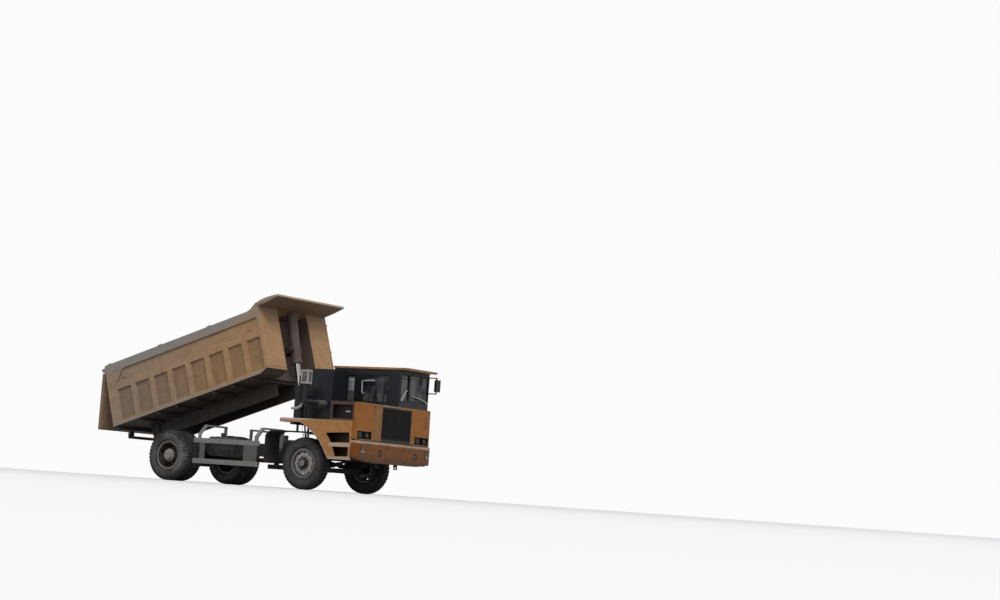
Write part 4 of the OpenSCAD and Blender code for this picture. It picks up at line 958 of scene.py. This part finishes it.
class TRUCK_OT_tailgate_trim(TruckOperator, bpy.types.Operator):
    """Cap the tailgate's hinge pins and weld its ribs"""

    bl_idname = "truck.tailgate_trim"
    bl_label = "Tailgate pins and welds"

    def build(self):
        shape = Shape()
        for sign, _ in SIDES:
            shape.rod(GATE_PIN + Vector((0, sign * 1.328, 0)), GATE_PIN + Vector((0, sign * 1.356, 0)), 0.034, 24)
            for z in (-0.2, -0.7, -1.35):
                plate = Vector((-0.0465, sign * 1.22, z))
                half = Vector((0.0035, 0.03, 0.05))
                shape.block(GATE_PIN + plate - half, GATE_PIN + plate + half)
        for z in (-1.375, -0.7975, -0.6975, -0.17):
            shape.rod(GATE_PIN + Vector((0.022, -1.31, z)), GATE_PIN + Vector((0.022, 1.31, z)), self.sizes.weld, 8)
        shape.make("tailgate_trim", "bed", "bed_paint", 0.002, "tailgate")


class TRUCK_OT_hoist_trim(TruckOperator, bpy.types.Operator):
    """Add the hoist's gland rings, bands and trunnion caps"""

    bl_idname = "truck.hoist_trim"
    bl_label = "Hoist glands and caps"

    def build(self):
        radius, bolts = 0.125, 12
        gland = [(0.096, 0.352), (0.122, 0.352), (0.122, 0.368), (0.108, 0.372), (0.096, 0.372)]
        shape = Shape()
        for d in (-0.62, -0.22, 0.12):
            shape.collar(HOIST_TOP, HOIST_DOWN, radius, radius + 0.006, d, d + 0.05, 48)
        shape.turned(HOIST_TOP, HOIST_DOWN, gland, 48)
        across = Vector((0, 1, 0))
        for i in range(bolts):
            angle = 2 * pi * i / bolts
            side = across * cos(angle) + HOIST_DOWN.cross(across) * sin(angle)
            shape.nut(HOIST_TOP + HOIST_DOWN * 0.36 + side * 0.113, HOIST_DOWN, 0.02, 0.012)
        for sign, _ in SIDES:
            start = HOIST_TOP + Vector((0, sign * 0.169, 0))
            shape.rod(start, start + Vector((0, sign * 0.012, 0)), 0.05, 32)
            shape.axle_nuts(start, sign, 0.033, 0.012, 4, 0.014, 0.008, start=0.5)
        shape.make("hoist_trim", "hoist", "hoist_paint", 0.001, "hoist_barrel")


# Front


class TRUCK_OT_lamps(TruckOperator, bpy.types.Operator):
    """Fit bowls, bezels and ribbed lenses to the lamps"""

    bl_idname = "truck.lamps"
    bl_label = "Lamps"

    def build(self):
        heads = [at(5.613, sign * y, 1.345) for sign, _ in SIDES for y in (1.03, 1.31)]
        fogs = [at(5.760, y, 0.95) for y in (-0.62, 0.83)]
        bezels, bowls, lenses = Shape(), Shape(), Shape()
        for places, rows in (
            (heads, (
                (bezels, 48, [(0.0755, 0.0), (0.088, 0.0), (0.088, 0.050), (0.080, 0.060), (0.0755, 0.052)]),
                (bowls, 32, [(0.0, 0.0680), (0.010, 0.0678), (0.018, 0.0665), (0.022, 0.0650), (0.022, 0.0600),
                             (0.0, 0.0600)]),
                (lenses, 40, [(0.0, 0.0665), (0.03, 0.0660), (0.055, 0.0645), (0.0735, 0.0600), (0.0735, 0.0590),
                              (0.0, 0.0650)]),
            )),
            (fogs, (
                (bezels, 48, [(0.062, 0.010), (0.084, 0.010), (0.084, 0.0135), (0.074, 0.0155), (0.062, 0.0150)]),
                (bowls, 32, [(0.0, 0.0158), (0.014, 0.0157), (0.026, 0.0152), (0.030, 0.0145), (0.030, 0.0130),
                             (0.0, 0.0130)]),
                (lenses, 40, [(0.0, 0.0150), (0.035, 0.0148), (0.062, 0.0135), (0.062, 0.0125), (0.0, 0.0130)]),
            )),
        ):
            for place in places:
                for shape, steps, profile in rows:
                    shape.turned(place, (1, 0, 0), profile, steps)
        bowls.make("lamp_bulbs", "bowl", "lamp_glass")
        lenses.make("lamp_lenses", "lens", "lamp_glass")
        amber, red, white = Shape(), Shape(), Shape()
        front, tail = (5.7765, 5.7905), (-1.6455, -1.6395)
        for sign, _ in SIDES:
            across = mirrored(sign, 1.232, 1.388)
            amber.bar(front, across, (1.003, 1.088))
            white.bar(front, across, (0.930, 0.997))
            bezels.bar((5.7760, 5.7835), (across[0] - 0.008, across[1] + 0.008), (0.922, 1.096))
            across = mirrored(sign, 0.938, 1.082)
            red.bar(tail, across, (1.036, 1.086))
            amber.bar(tail, across, (1.090, 1.144))
            white.bar((-1.634, -1.586), mirrored(sign, 1.0895, 1.0955), (1.05, 1.13))
        bezels.make("lamp_bezels", "rubber_trim", "lamp_glass", 0.001)
        amber.make("turn_lenses", "amber", "lamp_glass", 0.0015)
        red.make("tail_lenses", "red", "lamp_glass", 0.0015)
        white.make("marker_lenses", "white_lens", "lamp_glass", 0.0015)


class TRUCK_OT_front_trim(TruckOperator, bpy.types.Operator):
    """Add bolts, seams and hinges to the bumper and the front panel"""

    bl_idname = "truck.front_trim"
    bl_label = "Bumper and panel bolts"

    def build(self):
        ahead, seam, frame_bar = (1, 0, 0), (PANEL_FACE, PANEL_FACE + 0.0045), (PANEL_FACE, PANEL_FACE + 0.008)
        shape = Shape()
        shape.nuts((BUMPER_FACE,), (-0.36, 0.36), (0.80, 0.88, 1.08, 1.12), ahead, self.sizes.bolt, 0.012)
        shape.make("bumper_bolts", "bumper", "body_orange", 0.001)
        shape = Shape()
        shape.nuts((PANEL_FACE,), (-1.38, -0.80, 0.78, 1.38), (1.50, 1.98), ahead, self.sizes.bolt * 0.8, 0.010)
        shape.make("front_bolts", "orange", "body_orange", 0.001)
        shape = Shape()
        for y in (-0.56, 0.757):
            shape.bar(seam, (y - 0.012, y + 0.012), (1.24, 2.07))
        shape.bar((PANEL_FACE, PANEL_FACE + 0.006), (-1.44, 0.13), (2.055, 2.085))
        for sign, _ in SIDES:
            for z in ((1.237, 1.252), (1.438, 1.453)):
                shape.bar(frame_bar, mirrored(sign, 0.862, 1.458), z)
            for y in (0.862, 1.443):
                shape.bar(frame_bar, mirrored(sign, y, y + 0.015), (1.237, 1.453))
        shape.make("panel_seams", "orange", "body_orange", 0.002)
        shape = Shape()
        shape.bar((5.62, 5.772), (-1.43, 1.43), (1.200, 1.2125))
        shape.bar((PANEL_FACE, PANEL_FACE + 0.009), (-0.50, 0.19), (2.064, 2.090))
        shape.make("bumper_tread", "guard", "body_orange", 0.002)


class TRUCK_OT_grille(TruckOperator, bpy.types.Operator):
    """Stretch a fine guard net over the grille"""

    bl_idname = "truck.grille"
    bl_label = "Grille net"

    def build(self):
        low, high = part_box("grille")
        y0, y1, z0, z1 = low.y + 0.03, high.y - 0.03, low.z + 0.03, high.z - 0.03
        x = high.x - 0.0005
        wire, upright, level = 0.0022, 46, 30
        shape = Shape()
        for i in range(upright + 1):
            y = y0 + (y1 - y0) * i / upright
            shape.block((x - 0.003, y - wire, z0), (x, y + wire, z1))
        for i in range(level + 1):
            z = z0 + (z1 - z0) * i / level
            shape.block((x - 0.006, y0, z - wire), (x - 0.003, y1, z + wire))
        shape.make("grille_net", "dark", "cab_black")
        # Painted shade: a dark sheet just behind the grille, in place of the shaded space behind it.
        shape = Shape()
        shape.block((low.x - 0.004, y0 - 0.01, z0 - 0.01), (low.x - 0.001, y1 + 0.01, z1 + 0.01))
        shape.make("grille_backing", "dark", "cab_black")


# Cab


def window_seal(shape, axis, place, across, up):
    """A rubber seal round a window that faces along one axis."""
    (a0, a1), (z0, z1) = across, up
    wide, depth = 0.016, (place - 0.008, place + 0.008)
    for span, z in (
        ((a0 - wide, a1 + wide), (z0 - wide, z0)),
        ((a0 - wide, a1 + wide), (z1, z1 + wide)),
        ((a0 - wide, a0), (z0, z1)),
        ((a1, a1 + wide), (z0, z1)),
    ):
        shape.bar(*((depth, span) if axis == "x" else (span, depth)), z)


class TRUCK_OT_cab_trim(TruckOperator, bpy.types.Operator):
    """Seal the cab's windows and add its seams, handles and wipers"""

    bl_idname = "truck.cab_trim"
    bl_label = "Cab seals, seams and wipers"

    def build(self):
        shape = Shape()
        for axis, place, across, up in (
            ("y", CAB_RIGHT, (3.76, 4.33), WINDOW_HEIGHTS), ("y", CAB_RIGHT, (4.60, 5.31), WINDOW_HEIGHTS),
            ("y", CAB_LEFT, (3.80, 4.33), WINDOW_HEIGHTS), ("x", CAB_FRONT, (0.21, 0.53), SCREEN_HEIGHTS),
            ("x", CAB_FRONT, (0.57, 1.33), SCREEN_HEIGHTS), ("x", CAB_REAR, (0.45, 1.10), WINDOW_HEIGHTS),
        ):
            window_seal(shape, axis, place, across, up)
        shape.make("window_seals", "rubber_trim", "cab_black", 0.003)
        shape = Shape()
        window_seal(shape, "y", CAB_LEFT, (4.59, 5.29), WINDOW_HEIGHTS)
        shape.bar((5.10, 5.28), (CAB_LEFT, CAB_LEFT + 0.008), (2.06, 2.12))
        shape.make("door_seal", "rubber_trim", "cab_black", 0.003, "door")
        shape = Shape()
        for x in (4.42, 5.36):
            shape.bar((x - 0.006, x + 0.006), (0.1535, 0.161), (1.72, 2.95))
        shape.bar((3.70, 5.64), (0.154, 0.161), (2.09, 2.102))
        shape.bar((3.70, 5.65), (0.148, 0.161), (2.955, 2.975))
        shape.bar((CAB_FRONT, CAB_FRONT + 0.007), (0.17, 1.37), (2.235, 2.250))
        shape.nuts((3.84, 4.10, 4.48, 4.75, 5.00, 5.25, 5.55), (CAB_RIGHT,), (2.14,), (0, -1, 0), 0.018, 0.007)
        shape.make("cab_seams", "black", "cab_black", 0.0015)
        arms, blades = Shape(), Shape()
        for foot, sweep in (
            ((1.29, 2.268), ((1.20, 2.300), (1.07, 2.330), (0.94, 2.353), (0.78, 2.373), (0.62, 2.384))),
            ((0.25, 2.268), ((0.27, 2.33), (0.31, 2.40), (0.36, 2.46), (0.42, 2.51))),
        ):
            pivot = at(5.668, *foot)
            arms.rod(pivot - Vector((0.02, 0, 0)), pivot + Vector((0.014, 0, 0)), 0.024, 16)
            line = [pivot, *(at(5.682, *point) for point in sweep)]
            arms.tube(line, 0.011, 8)
            blades.tube([point + Vector((-0.016, 0, -0.012)) for point in line[2:]], 0.010, 6)
        arms.make("wiper_arms", "pale_steel", "cab_black")
        blades.make("wiper_blades", "rubber_trim", "cab_black")
        self.rail_and_louvre()
        shape = Shape()
        shape.bar((5.8215, 5.8245), (1.352, 1.498), (2.572, 2.838))
        shape.make("mirror_glass", "mirror", "cab_black", 0.001)
        shape = Shape()
        shape.bar((5.80, 5.853), (0.14, 1.40), (2.975, 2.990))
        shape.make("roof_lip", "roof", "body_orange", 0.004)

    def rail_and_louvre(self):
        shape = Shape()
        path = ((4.588, 0.150, 2.40), (4.588, 0.115, 2.40), (4.570, 0.115, 2.688), (4.885, 0.115, 2.700),
                (4.885, 0.150, 2.700))
        shape.tube(bend_points([at(*point) for point in path], 0.03), 0.016, 12)
        for x, _, z in (path[0], path[-1]):
            shape.rod(at(x, 0.161, z), at(x, 0.146, z), 0.026, 16)
        shape.make("cab_grab_rail", "pale_steel", "cab_black")
        shape = Shape()
        face, slats, first, pitch = 0.142, 9, 2.462, 0.031
        corners = ((4.095, 2.440), (4.305, 2.440), (4.305, 2.745), (4.095, 2.745))
        shape.plate([at(x, face, z) for x, z in corners], (0, 0.012, 0))
        for i in range(slats):
            z = first + pitch * i
            low = [at(4.29, face - 0.016, z - 0.006), at(4.11, face - 0.016, z - 0.006)]
            shape.plate([at(4.11, face, z), at(4.29, face, z), *low], (0, 0.002, 0.010))
        shape.make("window_louvre", "louvre", "cab_black", 0.001)


class TRUCK_OT_seat(TruckOperator, bpy.types.Operator):
    """Upholster the driver's seat"""

    bl_idname = "truck.seat"
    bl_label = "Driver's seat"

    def build(self):
        low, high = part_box("driver_seat")
        x, y0, y1, z = low.x + 0.08, low.y, high.y, low.z
        base = Shape()
        base.block((x + 0.10, y0 + 0.08, z), (x + 0.40, y1 - 0.08, z + 0.10))
        base.block((x + 0.14, y0 + 0.14, z + 0.10), (x + 0.36, y1 - 0.14, z + 0.24))
        base.block((x + 0.02, y0 + 0.03, z + 0.24), (x + 0.50, y1 - 0.03, z + 0.285))
        foot = base.make("seat_base", "plastic", "seat_vinyl", 0.006)
        squab = cushion("seat_squab", (x, y0 + 0.004, z + 0.285), (x + 0.518, y1 - 0.004, z + 0.418), 0.0)
        back = cushion("seat_back", (x + 0.005, y0 + 0.012, z + 0.43), (x + 0.125, y1 - 0.012, z + 1.055), -0.13)
        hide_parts("driver_seat")


def cushion(name, low, high, lean):
    """A crowned cushion with pulled-in sides and sewn channels, leaning back by a share of its height."""
    shape = bmesh.new()
    bmesh.ops.create_cube(shape, size=2)
    bmesh.ops.subdivide_edges(shape, edges=shape.edges, cuts=11, use_grid_fill=True)
    centre, half = (Vector(low) + Vector(high)) / 2, (Vector(high) - Vector(low)) / 2
    thin = min(range(3), key=lambda i: half[i])
    flat = [i for i in range(3) if i != thin]
    for v in shape.verts:
        p = v.co.copy()
        crown = 1 - 0.35 * max(abs(p[i]) for i in flat) ** 4
        groove = 0.09 if abs(abs(p.y) - 0.5) < 0.06 else 0.0
        pull = 0.96 + 0.04 * (1 - abs(p[thin])) - 0.025 * (1 - max(abs(p[i]) for i in flat) ** 2)
        for i in flat:
            p[i] *= pull
        p[thin] *= crown - groove
        q = Vector(centre[i] + p[i] * half[i] for i in range(3))
        q.x += lean * (q.z - low[2])
        v.co = q
    bmesh.ops.recalc_face_normals(shape, faces=shape.faces)
    piece = link(name, shape, "seat")
    piece.data.shade_smooth()
    smooth = piece.modifiers.new("smooth", "SUBSURF")
    smooth.levels = smooth.render_levels = 1
    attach(piece, "chassis")
    return piece


# Mudguards, deck and sides


class TRUCK_OT_mudguard_trim(TruckOperator, bpy.types.Operator):
    """Add treads to the steps and edge strips and bolts to the mudguards"""

    bl_idname = "truck.mudguard_trim"
    bl_label = "Step treads and mudguard bolts"

    def build(self):
        edge = ((3.48, 1.560), (4.05, 1.570), (4.20, 1.510), (4.42, 1.370), (4.68, 1.150), (4.95, 0.752))
        for sign, word in SIDES:
            treads, strip, bolts = Shape(), Shape(), Shape()
            for z in (0.780, 1.128):
                for i in range(7):
                    for k in range(3):
                        x, y = 5.03 + 0.075 * i, sign * (1.26 + 0.09 * k)
                        treads.bar((x - 0.012, x + 0.012), (y - 0.028, y + 0.028), (z, z + 0.006))
            treads.make(f"step_treads_{word}", "guard", "body_orange", 0.002)
            strip.tube([at(x, sign * 1.516, z + 0.008) for x, z in edge], 0.012, 8)
            strip.make(f"mudguard_edge_{word}", "rubbed", "body_orange")
            side = (sign * MUDGUARD_SIDE,)
            bolts.nuts((5.25, 5.33, 5.41), side, (1.48, 1.56), (0, sign, 0), self.sizes.bolt * 0.8, 0.0095)
            bolts.make(f"mudguard_bolts_{word}", "mudguard", "body_orange", 0.001)


class TRUCK_OT_guard_trim(TruckOperator, bpy.types.Operator):
    """Bolt the guard rails together"""

    bl_idname = "truck.guard_trim"
    bl_label = "Guard rail bolts"

    def build(self):
        for sign, word in SIDES:
            shape = Shape()
            posts, rails = (0.90, 1.115, 1.9, 2.45, 2.75), (0.5175, 1.0125)
            shape.nuts(posts, (sign * GUARD_SIDE,), rails, (0, sign, 0), self.sizes.bolt, 0.013)
            shape.make(f"guard_bolts_{word}", "zinc", "guard_grey", 0.001)


class TRUCK_OT_tank_trim(TruckOperator, bpy.types.Operator):
    """Add caps, end rings, straps and strap bolts to the tanks"""

    bl_idname = "truck.tank_trim"
    bl_label = "Tank caps and straps"

    def build(self):
        cap = [(0.0, 0.0), (0.062, 0.0), (0.062, 0.020), (0.050, 0.030), (0.0, 0.032)]
        end_ring = [(0.196, -0.001), (0.236, -0.001), (0.236, 0.004), (0.224, 0.008), (0.196, 0.010)]
        strap_edge = [(0.2375, -0.003), (0.2425, -0.002), (0.2425, 0.002), (0.2375, 0.003)]
        axle_y, axle_z = -1.10, 0.895
        shape = Shape()
        for place in (at(1.44, axle_y, 1.185), at(1.65, 1.08, 1.275)):
            shape.turned(place, (0, 0, 1), cap, 32)
            shape.block(place + Vector((-0.045, -0.008, 0.028)), place + Vector((0.045, 0.008, 0.042)))
        for x, out in ((1.12, -1), (1.96, 1)):
            shape.turned(at(x, axle_y, axle_z), (out, 0, 0), end_ring, 56)
        for x in (1.27, 1.32, 1.77, 1.82):
            shape.turned(at(x, axle_y, axle_z), (1, 0, 0), strap_edge, 56)
        shape.make("tank_trim", "tank", "tank_black", 0.001)
        shape = Shape()
        shape.nuts((1.295, 1.795), (-1.335,), (0.86, 0.93), (0, -1, 0), 0.02, 0.012)
        shape.make("tank_bolts", "zinc", "tank_black")


class TRUCK_OT_deck_trim(TruckOperator, bpy.types.Operator):
    """Add the tower's ribs and the air intake's clamps"""

    bl_idname = "truck.deck_trim"
    bl_label = "Tower and intake"

    def build(self):
        shape = Shape()
        for x in (3.62, 3.98):
            shape.bar((x - 0.012, x + 0.012), (TOWER_SIDE - 0.013, TOWER_SIDE), (1.68, 2.66))
        for z in (1.95, 2.35):
            shape.bar((3.36, 4.34), (TOWER_SIDE - 0.009, TOWER_SIDE), (z - 0.01, z + 0.01))
        shape.make("tower_seams", "black", "cab_black", 0.002)
        shape = Shape()
        for z in (1.76, 2.0, 2.3):
            shape.collar(at(3.66, -1.08, z), (0, 0, 1), 0.115, 0.1195, 0.0, 0.03, 40)
        for z in (2.12, 2.40):
            shape.collar(at(4.045, -1.372, z), (0, 0, 1), 0.060, 0.0645, 0.0, 0.022, 36)
        shape.make("canister_clamps", "chassis", "cab_black")
        shape = Shape()
        shape.bar((5.24, 5.37), (-1.336, -1.306), (1.852, 1.888))
        shape.rod(at(5.305, -1.336, 1.87), at(5.305, -1.352, 1.87), 0.012, 12)
        shape.make("locker_latch", "pale_steel", "cab_black", 0.004)


class TRUCK_OT_chassis_trim(TruckOperator, bpy.types.Operator):
    """Rivet the frame and add spring clips, brake chambers and axle bolts"""

    bl_idname = "truck.chassis_trim"
    bl_label = "Frame rivets, clips and brakes"

    def build(self):
        half_gap, half_clip, clip_bar = 0.085, 0.062, 0.009
        springs = ((0.0, 0.50, 0.735), (FRONT_AXLE - REAR_AXLE, 0.49, 0.560))
        shape = Shape()
        for sign, _ in SIDES:
            for x in (-0.85, 0.70, 1.50, 2.40, 3.15, 5.15):
                for dx in (-0.05, 0.05):
                    for z in (0.82, 0.96):
                        head = at(x + dx, sign * (RAIL_SIDE + 0.011), z)
                        shape.rod(at(x + dx, sign * RAIL_SIDE, z), head, 0.013, 10, 0.007)
            for x0, y, foot in springs:
                for x in (x0 - half_gap, x0 + half_gap):
                    near, far = sign * (y - half_clip), sign * (y + half_clip)
                    for across in (near, far):
                        shape.rod(at(x, across, foot - 0.02), at(x, across, foot + 0.135), clip_bar, 10)
                    path = [(near, 0.125), (near, 0.150), (far, 0.150), (far, 0.125)]
                    path = bend_points([at(x, across, foot + up) for across, up in path], 0.012, 4)
                    shape.tube(path, clip_bar, 10)
        shape.make("frame_rivets", "chassis", "frame_grey")
        shape = Shape()
        bolts, circle = 10, 0.14
        for i in range(bolts):
            angle = 2 * pi * i / bolts
            place = at(-0.18, circle * cos(angle), AXLE_HEIGHT + circle * sin(angle))
            shape.nut(place, (-1, 0, 0), 0.024, 0.016)
        for sign, _ in SIDES:
            for start, end, radius in ((-0.10, -0.26, 0.075), (-0.17, -0.19, 0.084)):
                line = [at(x, sign * 0.62, AXLE_HEIGHT + 0.02) for x in (start, end)]
                shape.rod(*line, radius, 28)
        shape.make("axle_trim", "chassis", "frame_grey", 0.002)


class TRUCK_PT_panel(bpy.types.Panel):
    """Lists the truck's pieces"""

    bl_label = "Dump truck"
    bl_idname = "TRUCK_PT_panel"
    bl_space_type = "VIEW_3D"
    bl_region_type = "UI"
    bl_category = "Dump truck"

    def draw(self, context):
        column = self.layout.column()
        for group in (context.scene.truck_colours, context.scene.truck_sizes):
            for key in type(group).__annotations__:
                column.prop(group, key)
        for operator in OPERATORS:
            column.operator(operator.bl_idname)


OPERATORS = (
    TRUCK_OT_camera, TRUCK_OT_stage, TRUCK_OT_finishes, TRUCK_OT_tyres, TRUCK_OT_wheel_trim, TRUCK_OT_bed_trim,
    TRUCK_OT_tailgate_trim, TRUCK_OT_hoist_trim, TRUCK_OT_lamps, TRUCK_OT_front_trim, TRUCK_OT_grille,
    TRUCK_OT_cab_trim, TRUCK_OT_seat, TRUCK_OT_mudguard_trim, TRUCK_OT_guard_trim, TRUCK_OT_tank_trim,
    TRUCK_OT_deck_trim, TRUCK_OT_chassis_trim,
)
CLASSES = (TruckColours, TruckSizes, *OPERATORS, TRUCK_PT_panel)


def register():
    for each in CLASSES:
        bpy.utils.register_class(each)
    bpy.types.Scene.truck_colours = PointerProperty(type=TruckColours)
    bpy.types.Scene.truck_sizes = PointerProperty(type=TruckSizes)


def unregister():
    del bpy.types.Scene.truck_sizes
    del bpy.types.Scene.truck_colours
    for each in reversed(CLASSES):
        bpy.utils.unregister_class(each)


def main():
    register()
    for operator in OPERATORS:
        group, name = operator.bl_idname.split(".")
        getattr(getattr(bpy.ops, group), name)()


if __name__ == "__main__":
    main()
